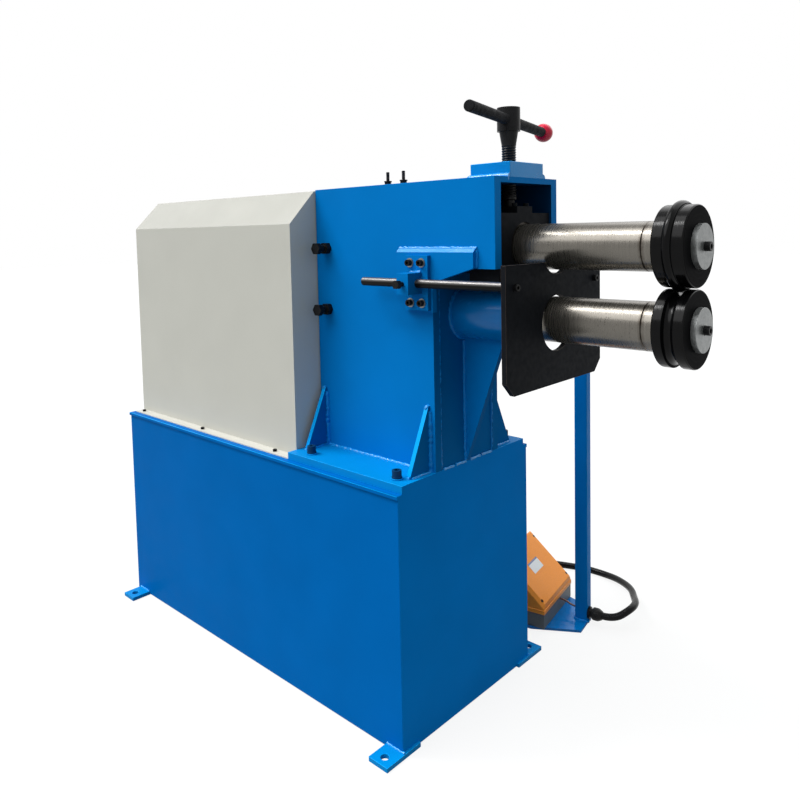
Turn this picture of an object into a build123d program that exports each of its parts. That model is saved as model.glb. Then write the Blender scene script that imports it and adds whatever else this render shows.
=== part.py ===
from build123d import *
from math import acos, cos, pi, radians, sin, tan
import os

os.makedirs("parts", exist_ok=True)

# Fits and clearances
running_fit = 0.05
seat_fit = 0.02
move_gap = 0.4
bolt_clearance = 0.5

# Floor bolt pattern and cabinet
hole_pitch_x = 1225
hole_pitch_y = 633
front_hole_setback = 24
rear_hole_setback = 47
tab_width = 62
tab_thickness = 12
tab_outer_margin = 25
tab_inner_reach = 97
tab_hole_d = 22
cabinet_width = 555
cabinet_height = 650
cabinet_wall = 5
cabinet_lift = 3
cabinet_top = 10
top_overhang = 4
hatch_length = 420
hatch_height = 360
hatch_centre_z = 330
hatch_lap = 25
hatch_thickness = 3

# Control panel inside the cabinet
panel_length = 360
panel_height = 300
panel_thickness = 3
panel_standoff = 20
contactor_pitch = 80
contactor_depth = 70

# Body weldment
base_length = 428
base_width = 524
base_thickness = 20
arm_width = 270
cheek = 25
body_setback = 2
arm_reach = 187
arm_rise = 165
arm_depth = 213
arm_plate = 14
column_plate = 20
column_recess = 4
column_rise = 103
gusset_thickness = 12
gusset_foot = 78
gusset_height = 166
gusset_land = 6
rear_gusset_at = 404
front_gusset_at = 22
rib_width = 16
rib_reach = 120

# Base bolts
base_bolt_front = 45
base_bolt_rear = 363
base_bolt_edge = 31.5
base_bolt_d = 16
base_head_d = 24
base_washer_d = 30
base_washer_t = 3.2
spring_washer_d = 26
spring_washer_t = 4

# Shafts
shaft_rise = 392
centre_distance = 171
shaft_r = 54
journal_r = 45
stub_r = 36
nose_r = 35
bush_wall = 5
collar_at = 492
roller_at = 525
roller_width = 67
collar_groove = 1.5
journal_shoulder = 46
gear_at = 56
gear_width = 60
gear_teeth = 19
gear_stub = 0.9
gear_lash = 0.9
pressure_angle = radians(20)

# Lower shaft bearings
boss_r = 65
boss_front = 172
boss_rear = 60
bush_recess = 6

# Rear pivots
pivot_setback = 381
pivot_r = 10
rear_block_half = 40
rear_block_height = 144
trunnion_width = 190
pivot_depth = 20
pivot_hex = 30
lock_nut = 16
pivot_head = 13
pivot_stick_out = 34

# Bearing block and screw
block_rear = 94
block_front = 180
block_height = 162
screw_at = 136
screw_r = 18
screw_neck_r = 13
pad_r = 22
pad_height = 8
pad_crown = 2
pad_hole_r = 8
keeper_width = 66
keeper_height = 16
keeper_roof = 5
keeper_shift = 6
keeper_bolt_d = 8
keeper_head_d = 13
keeper_bolt_edge = 7.8
pad_room = 1
screw_way = 2
thread_from = 24
screw_show = 49
taper_length = 29
hub_height = 57
hub_r = 28
hub_neck_r = 22.96
bar_rise = 28
bar_r = 13
bar_near = 257
bar_far = 284
bar_turn = 15
ball_r = 25.5
ball_at = 296
nut_rear = 73
nut_width = 144
nut_height = 36

# Arm studs
stud_d = 10
stud_rear = 269
stud_pitch = 59
stud_stick_out = 45
stud_nut_hex = 17
stud_nut_height = 14
stud_washer_r = 11
stud_washer_t = 2.8

# Depth gauge
bracket_thickness = 15
bracket_rear = 105
bracket_front = 135
bracket_bevel = 9
bracket_rise = 84
bracket_lip = 38
bracket_waist = 43
bracket_waist_rise = 10
bracket_neck = 12
bracket_drop = 73
bracket_heel_in = 30
bracket_heel_rise = 29
clamp_flange = 12
clamp_centre = 30.5
clamp_width = 75
clamp_height = 135
clamp_drop = 36
clamp_block = 37
clamp_block_height = 52
clamp_block_reach = 51
clamp_bolt_x = 37
clamp_bolt_z = 99
clamp_bolt_d = 10
clamp_head_d = 16
clamp_washer_d = 23
clamp_washer_t = 2
rod_y = 178
rod_r = 11
rod_length = 450
plate_front = 266
plate_thickness = 12
plate_width = 424
plate_drop = 152
plate_rise = 136
plate_corner = 30
plate_hole_r = 66
plate_hole_drop = 8
plate_notch_r = 64
plate_bolt_d = 10
lock_r = 6
lock_head_hex = 19
lock_head = 13
lock_stick_out = 12

# Rollers
upper_roller_r = 86
bead_r = 10
bead_sink = 1
lower_roller_r = 83
groove_r = 12
roller_edge = 4
nose_gap = 2
end_washer_r = 47
end_washer_t = 12
end_bolt_d = 12
end_head_d = 20

# Drive cover
cover_rear_gap = 7
cover_drop = 3
cover_chamfer = 92
cover_sheet = 2
cover_flange = 32
cover_flange_t = 3
cover_front_gap = 1
cover_window = 112
cover_screw_edge = 17
cover_screw_d = 6
cover_screw_first = 31
cover_screw_pitch = 375

# Drive under the cover
coupling_gap = 15
coupling_half = 40
coupling_r = 75
reducer_front = 150
reducer_length = 180
reducer_wall = 10
reducer_drop = 110
first_pinion_teeth = 14
first_wheel_teeth = 96
second_pinion_teeth = 13
second_wheel_teeth = 67
reducer_stub = 0.75
reducer_lash = 0.5
first_face = 30
second_face = 50
stage_gap = 15
output_r = 30
output_boss_r = 50
output_boss = 40
layshaft_r = 12
rotor_shaft_r = 9
wheel_room = 5
motor_r = 105
motor_length = 340
motor_shield = 20
rotor_r = 70
air_gap = 1
fan_r = 80
fan_width = 30
fan_room = 60
grille_r = 56
stand_plate = 14
stand_side = 12

# Foot switch and stand
stand_x = 685.9
stand_y = 505.7
stand_turn = 10
stand_sheet = 8
stand_length = 300
stand_depth = 266
stand_front = 60
stand_cut = 143
post_size = 40
post_wall = 3
post_v = 60
post_top = 960
box_u = 75
box_v = 65
box_height = 170
box_wall = 4
box_inset = 60
box_front_v = 45
button_r = 20
button_head = 14
button_stem_r = 10
button_travel = 5
button_gap = 1
pedal_u = 101
pedal_length = 145
pedal_v = 54
pedal_width = 247
pedal_wall = 4
pedal_base_top = 54
rim_proud = 2
rim_height = 13
hood_low = 85
hood_high = 210
hood_run = 139
hood_edge = 10
hood_seat = 1
foot_mouth_top = 186
treadle_pin_r = 5
treadle_pin_in = 17
treadle_pin_z = 42
treadle_boss_r = 9
treadle_thickness = 6
treadle_rise = 18
treadle_reach = 120
treadle_side_gap = 1
spring_reach = 80
spring_r = 11
spring_wire = 2
spring_turns = 7

# Cables and glands
cable_d = 22.5
lead_d = 6
lead_straight = 17
gland_v = 75
gland_z = 33
gland_length = 45
gland_r = 19
gland_neck_r = 14
gland_foot = 8
gland_gap = 7
gland_nut = 19
gland_lip = 2
cable_straight = 38
cabinet_gland_x = 276.5
cabinet_gland_z = 45
bend_share = 0.45

# Derived stations
cabinet_front = hole_pitch_x / 2 + front_hole_setback
cabinet_rear = -hole_pitch_x / 2 - rear_hole_setback
base_rear = cabinet_front - base_length
body_rear = base_rear + body_setback
base_top_z = cabinet_height + base_thickness
lower_axis_z = base_top_z + shaft_rise
upper_axis_z = lower_axis_z + centre_distance
arm_top_z = upper_axis_z + arm_rise
arm_front = cabinet_front + arm_reach
arm_bottom_z = arm_top_z - arm_depth
arm_inner_z = arm_top_z - arm_plate
arm_y = arm_width / 2
arm_inner_y = arm_y - cheek
bush_r = shaft_r + running_fit + bush_wall
rear_bush_r = journal_r + running_fit + bush_wall
pivot_x = cabinet_front - pivot_setback
screw_x = cabinet_front + screw_at
collar_x = cabinet_front + collar_at
roller_x = cabinet_front + roller_at
roller_end = roller_x + roller_width
gear_module = centre_distance / gear_teeth
gear_x = pivot_x + gear_at
block_top_z = upper_axis_z + block_height / 2
pad_z = block_top_z + move_gap
pad_top_z = pad_z + pad_height
column_plate_top = lower_axis_z + column_rise
nut_top_z = arm_top_z + nut_height
taper_z = nut_top_z + screw_show
hub_z = taper_z + taper_length
hub_top_z = hub_z + hub_height
bar_z = hub_z + bar_rise
cover_top_z = arm_top_z - cover_drop
plate_x = cabinet_front + plate_front
plate_bottom = lower_axis_z - plate_drop
plate_top = lower_axis_z + plate_rise
clamp_x = cabinet_front - clamp_centre
clamp_z = arm_bottom_z - clamp_drop
bracket_y = arm_y + bracket_thickness
flange_y = bracket_y + clamp_flange
cabinet_side = cabinet_width / 2
base_bolt_y = base_width / 2 - base_bolt_edge
cover_width = base_width - 2 * cover_flange
cover_screw_y = base_width / 2 - cover_screw_edge
sides = (-1, 1)


def save(builder, name):
    builder.part.label = name
    export_step(builder.part, f"parts/{name}.step")


def block(x0, x1, y0, y1, z0, z1, mode=Mode.ADD):
    with BuildSketch(Plane.XY.offset(z0)) as outline:
        with Locations(((x0 + x1) / 2, (y0 + y1) / 2)):
            Rectangle(abs(x1 - x0), abs(y1 - y0))
    extrude(outline.sketch, amount=z1 - z0, mode=mode)


def rod_x_way(y, z, r, x0, x1, mode=Mode.ADD):
    with BuildSketch(Plane.YZ.offset(x0)) as disc:
        with Locations((y, z)):
            Circle(r)
    extrude(disc.sketch, amount=x1 - x0, mode=mode)


def rod_y_way(x, z, r, y0, y1, mode=Mode.ADD):
    with BuildSketch(Plane.XZ.offset(-y0)) as disc:
        with Locations((x, z)):
            Circle(r)
    extrude(disc.sketch, amount=y0 - y1, mode=mode)


def rod_z_way(x, y, r, z0, z1, mode=Mode.ADD):
    with BuildSketch(Plane.XY.offset(z0)) as disc:
        with Locations((x, y)):
            Circle(r)
    extrude(disc.sketch, amount=z1 - z0, mode=mode)


def hex_x_way(y, z, across, x0, x1, mode=Mode.ADD):
    with BuildSketch(Plane.YZ.offset(x0)) as shape:
        with Locations((y, z)):
            RegularPolygon(across / 2, 6, major_radius=False)
    extrude(shape.sketch, amount=x1 - x0, mode=mode)


def hex_y_way(x, z, across, y0, y1, mode=Mode.ADD):
    with BuildSketch(Plane.XZ.offset(-y0)) as shape:
        with Locations((x, z)):
            RegularPolygon(across / 2, 6, major_radius=False)
    extrude(shape.sketch, amount=y0 - y1, mode=mode)


def hex_z_way(x, y, across, z0, z1, mode=Mode.ADD):
    with BuildSketch(Plane.XY.offset(z0)) as shape:
        with Locations((x, y)):
            RegularPolygon(across / 2, 6, major_radius=False)
    extrude(shape.sketch, amount=z1 - z0, mode=mode)


def profile_y_way(corners, y0, y1, mode=Mode.ADD):
    with BuildSketch(Plane.XZ.offset(-y0)) as shape:
        with BuildLine():
            Polyline(*corners, close=True)
        make_face()
    extrude(shape.sketch, amount=y0 - y1, mode=mode)


def profile_x_way(corners, x0, x1, mode=Mode.ADD):
    with BuildSketch(Plane.YZ.offset(x0)) as shape:
        with BuildLine():
            Polyline(*corners, close=True)
        make_face()
    extrude(shape.sketch, amount=x1 - x0, mode=mode)


def turned_x_way(axis_z, corners, mode=Mode.ADD):
    with BuildSketch(Plane.XZ) as half:
        with BuildLine():
            Polyline(*[(x, axis_z + r) for x, r in corners], close=True)
        make_face()
    revolve(half.sketch, axis=Axis((0, 0, axis_z), (1, 0, 0)), mode=mode)


def turned_z_way(axis_x, corners, mode=Mode.ADD):
    with BuildSketch(Plane.XZ) as half:
        with BuildLine():
            Polyline(*[(axis_x + r, z) for r, z in corners], close=True)
        make_face()
    revolve(half.sketch, axis=Axis((axis_x, 0, 0), (0, 0, 1)), mode=mode)


def cap_screw_y(x, z, y_seat, y_tip, shank_d, head_d):
    out = 1 if y_seat > y_tip else -1
    head_y = y_seat + out * shank_d
    rod_y_way(x, z, shank_d / 2, y_seat, y_tip)
    rod_y_way(x, z, head_d / 2, y_seat, head_y)
    hex_y_way(x, z, head_d / 2, head_y - out * shank_d / 2, head_y, mode=Mode.SUBTRACT)


def cap_screw_z(x, y, z_seat, z_tip, shank_d, head_d):
    head_z = z_seat + shank_d
    rod_z_way(x, y, shank_d / 2, z_tip, z_seat)
    rod_z_way(x, y, head_d / 2, z_seat, head_z)
    hex_z_way(x, y, head_d / 2, head_z - shank_d / 2, head_z, mode=Mode.SUBTRACT)


def cap_screw_x(y, z, x_seat, x_tip, shank_d, head_d):
    head_x = x_seat + shank_d
    rod_x_way(y, z, shank_d / 2, x_tip, x_seat)
    rod_x_way(y, z, head_d / 2, x_seat, head_x)
    hex_x_way(y, z, head_d / 2, head_x - shank_d / 2, head_x, mode=Mode.SUBTRACT)


def tooth_outline(module, teeth, stub, lash, first_tooth):
    pitch_r = module * teeth / 2
    base_r = pitch_r * cos(pressure_angle)
    tip_r = pitch_r + stub * module
    root_r = pitch_r - (stub + 0.25) * module
    start_r = max(base_r, root_r)
    thickness = (pi * module - lash) / (4 * pitch_r)
    flank = [start_r + (tip_r - start_r) * step / 3 for step in range(4)]
    involute = tan(pressure_angle) - pressure_angle

    def half_angle(r):
        roll = acos(min(1, base_r / r))
        return thickness + involute - tan(roll) + roll

    rising = [(root_r, half_angle(start_r))] if root_r < base_r else []
    rising += [(r, half_angle(r)) for r in flank]
    outline = []
    for tooth in range(teeth):
        centre = radians(first_tooth) + 2 * pi * tooth / teeth
        outline += [(r * cos(centre - a), r * sin(centre - a)) for r, a in rising]
        outline += [(r * cos(centre + a), r * sin(centre + a)) for r, a in reversed(rising)]
    return outline


def gear_wheel(outline, axis_z, x0, x1):
    profile_x_way([(y, axis_z + z) for y, z in outline], x0, x1)


def cord(corners, diameter):
    points = [Vector(*corner) for corner in corners]
    bends = []
    for before, here, after in zip(points, points[1:], points[2:]):
        run_in = here - before
        run_out = after - here
        half_turn = radians(run_in.get_angle(run_out)) / 2
        bends.append(bend_share * min(run_in.length, run_out.length) / tan(half_turn))
    with BuildLine() as path:
        FilletPolyline(*points, radius=bends)
    with BuildSketch(Plane(origin=points[0], z_dir=points[1] - points[0])) as section:
        Circle(diameter / 2)
    sweep(section.sketch, path=path.line)
    length = sum(edge.length for edge in path.edges())
    print(f"cord {diameter} length {length:.1f} tightest bend {min(bends):.1f}")
    print(f"cord section times length {pi * diameter ** 2 / 4 * length:.0f}")


# Floor tabs
tab_ends = [(x, y) for x in (-hole_pitch_x / 2, hole_pitch_x / 2) for y in sides]


def tab_body(x, side, mode=Mode.ADD):
    inner = side * (hole_pitch_y / 2 - tab_inner_reach)
    outer = side * (hole_pitch_y / 2 + tab_outer_margin)
    block(x - tab_width / 2, x + tab_width / 2, inner, outer, 0, tab_thickness, mode)


with BuildPart() as foot_tabs:
    for tab_x, tab_side in tab_ends:
        tab_body(tab_x, tab_side)
        rod_z_way(tab_x, tab_side * hole_pitch_y / 2, tab_hole_d / 2, 0, tab_thickness, Mode.SUBTRACT)
save(foot_tabs, "foot_tabs")

# Cabinet box with the hatch opening and notches for the tabs
base_bolts_at = [(cabinet_front - setback, side * base_bolt_y)
                 for setback in (base_bolt_front, base_bolt_rear) for side in sides]
base_bolt_way = base_bolt_d / 2 + bolt_clearance
box_top_z = cabinet_height - cabinet_top
hatch_z0 = hatch_centre_z - hatch_height / 2
hatch_z1 = hatch_centre_z + hatch_height / 2
with BuildPart() as cabinet_shell:
    block(cabinet_rear, cabinet_front, -cabinet_side, cabinet_side, cabinet_lift, box_top_z)
    block(cabinet_rear - top_overhang, cabinet_front, -cabinet_side - top_overhang,
          cabinet_side + top_overhang, box_top_z, cabinet_height)
    block(cabinet_rear + cabinet_wall, cabinet_front - cabinet_wall, cabinet_wall - cabinet_side,
          cabinet_side - cabinet_wall, cabinet_lift, box_top_z, Mode.SUBTRACT)
    block(-hatch_length / 2, hatch_length / 2, cabinet_side - cabinet_wall, cabinet_side,
          hatch_z0, hatch_z1, Mode.SUBTRACT)
    for tab_x, tab_side in tab_ends:
        tab_body(tab_x, tab_side, Mode.SUBTRACT)
    for bolt_x, bolt_y in base_bolts_at:
        rod_z_way(bolt_x, bolt_y, base_bolt_way, box_top_z, cabinet_height, Mode.SUBTRACT)
save(cabinet_shell, "cabinet_shell")

with BuildPart() as access_panel:
    block(-hatch_length / 2 - hatch_lap, hatch_length / 2 + hatch_lap, cabinet_side,
          cabinet_side + hatch_thickness, hatch_z0 - hatch_lap, hatch_z1 + hatch_lap)
save(access_panel, "access_panel")

# Control panel on the inner side of the near wall
wall_y = cabinet_wall - cabinet_side
panel_y = wall_y + panel_standoff
panel_face_y = panel_y + panel_thickness
panel_z0 = hatch_centre_z - panel_height / 2
panel_z1 = hatch_centre_z + panel_height / 2
with BuildPart() as control_panel:
    block(-panel_length / 2, panel_length / 2, panel_y, panel_face_y,
          panel_z0, panel_z1)
    for leg_x in (-panel_length / 2 + hatch_lap, panel_length / 2 - hatch_lap):
        for leg_z in (panel_z0 + hatch_lap, panel_z1 - hatch_lap):
            rod_y_way(leg_x, leg_z, panel_standoff / 2, wall_y, panel_y)
    for slot in (-1, 0, 1):
        block(slot * contactor_pitch - contactor_pitch / 3, slot * contactor_pitch + contactor_pitch / 3,
              panel_face_y, panel_face_y + contactor_depth,
              hatch_centre_z - contactor_pitch / 2, hatch_centre_z + contactor_pitch / 2)
save(control_panel, "control_panel")

# Body weldment
with BuildPart() as body_base_plate:
    block(base_rear, cabinet_front, -base_width / 2, base_width / 2, cabinet_height, base_top_z)
    for bolt_x, bolt_y in base_bolts_at:
        rod_z_way(bolt_x, bolt_y, base_bolt_way, cabinet_height, base_top_z, Mode.SUBTRACT)
save(body_base_plate, "body_base_plate")


def side_plate(side):
    outline = [(body_rear, base_top_z), (cabinet_front, base_top_z), (cabinet_front, arm_bottom_z),
               (arm_front, arm_bottom_z), (arm_front, arm_top_z), (body_rear, arm_top_z)]
    profile_y_way(outline, side * arm_inner_y, side * arm_y)
    for axis_z in (lower_axis_z, upper_axis_z):
        rod_y_way(pivot_x, axis_z, pivot_r + seat_fit, side * arm_inner_y, side * arm_y, Mode.SUBTRACT)


with BuildPart() as near_side_plate:
    side_plate(-1)
save(near_side_plate, "near_side_plate")

with BuildPart() as far_side_plate:
    side_plate(1)
save(far_side_plate, "far_side_plate")

studs_at = [cabinet_front - stud_rear, cabinet_front - stud_rear + stud_pitch]
with BuildPart() as arm_top_plate:
    block(body_rear, arm_front, -arm_inner_y, arm_inner_y, arm_inner_z, arm_top_z)
    rod_z_way(screw_x, 0, screw_r + screw_way, arm_inner_z, arm_top_z, Mode.SUBTRACT)
    for stud_x in studs_at:
        rod_z_way(stud_x, 0, stud_d / 2 + seat_fit, arm_inner_z, arm_top_z, Mode.SUBTRACT)
save(arm_top_plate, "arm_top_plate")

column_face = cabinet_front - column_recess
with BuildPart() as column_front_plate:
    block(column_face - column_plate, column_face, -arm_inner_y, arm_inner_y, base_top_z, column_plate_top)
    rod_x_way(0, lower_axis_z, boss_r + seat_fit, column_face - column_plate, column_face, Mode.SUBTRACT)
save(column_front_plate, "column_front_plate")

with BuildPart() as column_gussets:
    for side in sides:
        for setback in (rear_gusset_at, front_gusset_at):
            gusset_x = cabinet_front - setback - gusset_thickness / 2
            profile_x_way([(side * arm_y, base_top_z), (side * (arm_y + gusset_foot), base_top_z),
                           (side * (arm_y + gusset_foot), base_top_z + gusset_land),
                           (side * (arm_y + gusset_land), base_top_z + gusset_height),
                           (side * arm_y, base_top_z + gusset_height)],
                          gusset_x, gusset_x + gusset_thickness)
    profile_y_way([(column_face, base_top_z), (cabinet_front, base_top_z),
                   (cabinet_front + rib_reach, lower_axis_z - boss_r),
                   (cabinet_front + rib_reach, lower_axis_z), (column_face, lower_axis_z)],
                  -rib_width / 2, rib_width / 2)
    rod_x_way(0, lower_axis_z, boss_r + seat_fit, column_face, arm_front, Mode.SUBTRACT)
save(column_gussets, "column_gussets")

boss_x0 = cabinet_front - boss_rear
boss_x1 = cabinet_front + boss_front
with BuildPart() as lower_bearing_boss:
    rod_x_way(0, lower_axis_z, boss_r, boss_x0, boss_x1)
    rod_x_way(0, lower_axis_z, bush_r + seat_fit, boss_x0, boss_x1, Mode.SUBTRACT)
save(lower_bearing_boss, "lower_bearing_boss")

with BuildPart() as screw_nut_block:
    block(cabinet_front + nut_rear, arm_front, -nut_width / 2, nut_width / 2, arm_top_z, nut_top_z)
    rod_z_way(screw_x, 0, screw_r + running_fit, arm_top_z, nut_top_z, Mode.SUBTRACT)
save(screw_nut_block, "screw_nut_block")

# Fasteners of the body
with BuildPart() as base_bolts:
    for bolt_x, bolt_y in base_bolts_at:
        washer_z = base_top_z + base_washer_t
        head_seat_z = washer_z + spring_washer_t
        cap_screw_z(bolt_x, bolt_y, head_seat_z, box_top_z, base_bolt_d, base_head_d)
        rod_z_way(bolt_x, bolt_y, base_washer_d / 2, base_top_z, washer_z)
        rod_z_way(bolt_x, bolt_y, spring_washer_d / 2, washer_z, head_seat_z)
save(base_bolts, "base_bolts")

with BuildPart() as arm_top_studs:
    for stud_x in studs_at:
        rod_z_way(stud_x, 0, stud_d / 2, arm_inner_z, arm_top_z + stud_stick_out)
        hex_z_way(stud_x, 0, stud_nut_hex, arm_top_z, arm_top_z + stud_nut_height)
        rod_z_way(stud_x, 0, stud_washer_r, arm_top_z, arm_top_z + stud_washer_t)
save(arm_top_studs, "arm_top_studs")


def pivot_bolt(axis_z, side, tip_y):
    head_y = arm_y + pivot_stick_out
    rod_y_way(pivot_x, axis_z, pivot_r, side * tip_y, side * head_y)
    hex_y_way(pivot_x, axis_z, pivot_hex, side * arm_y, side * (arm_y + lock_nut))
    hex_y_way(pivot_x, axis_z, pivot_hex, side * head_y, side * (head_y + pivot_head))


with BuildPart() as pivot_bolts:
    for side in sides:
        pivot_bolt(lower_axis_z, side, arm_inner_y - pivot_depth)
        pivot_bolt(upper_axis_z, side, trunnion_width / 2 - pivot_depth)
save(pivot_bolts, "pivot_bolts")


# Rear bearing blocks
def rear_block(axis_z, width, fit):
    x0 = pivot_x - rear_block_half
    x1 = pivot_x + rear_block_half
    block(x0, x1, -width / 2, width / 2, axis_z - rear_block_height / 2, axis_z + rear_block_height / 2)
    rod_x_way(0, axis_z, rear_bush_r + seat_fit, x0, x1, Mode.SUBTRACT)
    for side in sides:
        socket_y = width / 2 - pivot_depth - move_gap
        rod_y_way(pivot_x, axis_z, pivot_r + fit, side * socket_y, side * width / 2, Mode.SUBTRACT)


def bush(axis_z, outer_r, inner_r, x0, x1):
    rod_x_way(0, axis_z, outer_r, x0, x1)
    rod_x_way(0, axis_z, inner_r, x0, x1, Mode.SUBTRACT)


with BuildPart() as lower_rear_block:
    rear_block(lower_axis_z, 2 * arm_inner_y, seat_fit)
save(lower_rear_block, "lower_rear_block")

with BuildPart() as rear_trunnion_block:
    rear_block(upper_axis_z, trunnion_width, running_fit)
save(rear_trunnion_block, "rear_trunnion_block")

rear_bush_x0 = pivot_x - rear_block_half
rear_bush_x1 = pivot_x + rear_block_half
with BuildPart() as lower_bushes:
    bush(lower_axis_z, bush_r, shaft_r + running_fit, boss_x0, boss_x1 - bush_recess)
    bush(lower_axis_z, rear_bush_r, journal_r + running_fit, rear_bush_x0, rear_bush_x1)
save(lower_bushes, "lower_bushes")

block_x0 = cabinet_front + block_rear
block_x1 = cabinet_front + block_front
with BuildPart() as upper_bushes:
    bush(upper_axis_z, bush_r, shaft_r + running_fit, block_x0, block_x1 - bush_recess)
    bush(upper_axis_z, rear_bush_r, journal_r + running_fit, rear_bush_x0, rear_bush_x1)
save(upper_bushes, "upper_bushes")

# Bearing block that the screw pushes and lifts, with its keeper
block_y = arm_inner_y - move_gap
keeper_x0 = screw_x - pad_r - keeper_shift - 2 * keeper_roof
keeper_bolt_y = keeper_width / 2 - keeper_bolt_edge
keeper_bolts_at = [(block_x1 - keeper_head_d, side * keeper_bolt_y) for side in sides]
with BuildPart() as bearing_block:
    block(block_x0, block_x1, -block_y, block_y, upper_axis_z - block_height / 2, block_top_z)
    rod_x_way(0, upper_axis_z, bush_r + seat_fit, block_x0, block_x1, Mode.SUBTRACT)
    for bolt_x, bolt_y in keeper_bolts_at:
        rod_z_way(bolt_x, bolt_y, keeper_bolt_d / 2 + seat_fit, block_top_z - keeper_height, block_top_z,
                  Mode.SUBTRACT)
save(bearing_block, "bearing_block")

keeper_top_z = block_top_z + keeper_height
slot_r = screw_neck_r + screw_way
keeper_bolt_tip = block_top_z - keeper_height / 2
with BuildPart() as screw_keeper:
    block(keeper_x0, block_x1, -keeper_width / 2, keeper_width / 2, block_top_z, keeper_top_z)
    block(screw_x - pad_r - keeper_shift, screw_x + pad_r + keeper_shift, -pad_r - pad_room, pad_r + pad_room,
          block_top_z, keeper_top_z - keeper_roof, Mode.SUBTRACT)
    block(keeper_x0, screw_x + keeper_shift, -slot_r, slot_r, block_top_z, keeper_top_z, Mode.SUBTRACT)
    rod_z_way(screw_x + keeper_shift, 0, slot_r, block_top_z, keeper_top_z, Mode.SUBTRACT)
    for bolt_x, bolt_y in keeper_bolts_at:
        rod_z_way(bolt_x, bolt_y, keeper_bolt_d / 2 + seat_fit, block_top_z, keeper_top_z, Mode.SUBTRACT)
        cap_screw_z(bolt_x, bolt_y, keeper_top_z, keeper_bolt_tip, keeper_bolt_d, keeper_head_d)
save(screw_keeper, "screw_keeper")

# Pressure screw, pad, bar and ball
pad_floor_z = pad_z + pad_crown
with BuildPart() as thrust_pad:
    turned_z_way(screw_x, [(0, pad_z), (pad_r, pad_floor_z), (pad_r, pad_top_z), (pad_hole_r, pad_top_z),
                           (pad_hole_r, pad_floor_z), (0, pad_floor_z)])
save(thrust_pad, "thrust_pad")

neck_z = pad_top_z + move_gap
thread_z = neck_z + thread_from
tip_z = pad_floor_z + move_gap
tip_r = pad_hole_r - running_fit
bar_way = (sin(radians(bar_turn)), -cos(radians(bar_turn)), 0)
bar_plane = Plane(origin=(screw_x, 0, bar_z), z_dir=bar_way)
with BuildPart() as pressure_screw:
    turned_z_way(screw_x, [(0, tip_z), (tip_r, tip_z), (tip_r, neck_z), (screw_neck_r, neck_z),
                           (screw_neck_r, thread_z), (screw_r, thread_z), (screw_r, taper_z),
                           (hub_neck_r, hub_z), (hub_r, hub_z), (hub_r, hub_top_z), (0, hub_top_z)])
    with BuildSketch(bar_plane) as eye:
        Circle(bar_r + seat_fit)
    extrude(eye.sketch, amount=2 * hub_r, both=True, mode=Mode.SUBTRACT)
save(pressure_screw, "pressure_screw")

with BuildPart() as handle_bar:
    with BuildSketch(bar_plane.offset(-bar_far)) as bar_end:
        Circle(bar_r)
    extrude(bar_end.sketch, amount=bar_far + bar_near)
    chamfer(handle_bar.faces().sort_by(Axis.Y)[0].edges(), bar_r / 6)
save(handle_bar, "handle_bar")

with BuildPart() as handle_knob:
    with Locations(bar_plane.offset(-ball_at).origin):
        Sphere(ball_r)
    with BuildSketch(bar_plane.offset(-bar_far)) as ball_bore:
        Circle(bar_r + seat_fit)
    extrude(ball_bore.sketch, amount=ball_r * 2, mode=Mode.SUBTRACT)
save(handle_knob, "handle_knob")

# Depth gauge brackets, clamps and their bolts
bracket_x0 = cabinet_front - bracket_rear
bracket_x1 = cabinet_front + bracket_front
clamp_bolt_seat = clamp_bolt_d / 2 + seat_fit
clamp_holes = [(clamp_x + i * clamp_bolt_x / 2, clamp_z + k * clamp_bolt_z / 2) for i in sides for k in sides]
with BuildPart() as gauge_brackets:
    for side in sides:
        profile_y_way([(bracket_x0, clamp_z + bracket_rise), (bracket_x1, clamp_z + bracket_rise),
                       (bracket_x1, clamp_z + bracket_lip),
                       (cabinet_front + bracket_waist, clamp_z + bracket_waist_rise),
                       (cabinet_front + bracket_neck, clamp_z),
                       (cabinet_front + bracket_neck, clamp_z - bracket_drop),
                       (bracket_x0 + bracket_heel_in, clamp_z - bracket_drop),
                       (bracket_x0, clamp_z - bracket_drop + bracket_heel_rise)],
                      side * arm_y, side * bracket_y)
    bracket_tops = gauge_brackets.edges().filter_by(Axis.X).group_by(Axis.Z)[-1].sort_by(Axis.Y)
    chamfer([bracket_tops[0], bracket_tops[-1]], bracket_bevel)
    for side in sides:
        for bolt_x, bolt_z in clamp_holes:
            rod_y_way(bolt_x, bolt_z, clamp_bolt_seat, side * arm_y, side * bracket_y, Mode.SUBTRACT)
save(gauge_brackets, "gauge_brackets")

block_end_y = flange_y + clamp_block_reach
clamp_bolt_way = clamp_bolt_d / 2 + bolt_clearance
with BuildPart() as rod_clamps:
    for side in sides:
        block(clamp_x - clamp_width / 2, clamp_x + clamp_width / 2, side * bracket_y, side * flange_y,
              clamp_z - clamp_height / 2, clamp_z + clamp_height / 2)
        block(clamp_x - clamp_block / 2, clamp_x + clamp_block / 2, side * flange_y, side * block_end_y,
              clamp_z - clamp_block_height / 2, clamp_z + clamp_block_height / 2)
        rod_x_way(side * rod_y, clamp_z, rod_r + running_fit, clamp_x - clamp_width, clamp_x + clamp_width,
                  Mode.SUBTRACT)
        rod_y_way(clamp_x, clamp_z, lock_r + running_fit, side * rod_y, side * block_end_y, Mode.SUBTRACT)
        for bolt_x, bolt_z in clamp_holes:
            rod_y_way(bolt_x, bolt_z, clamp_bolt_way, side * bracket_y, side * flange_y, Mode.SUBTRACT)
save(rod_clamps, "rod_clamps")

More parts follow.
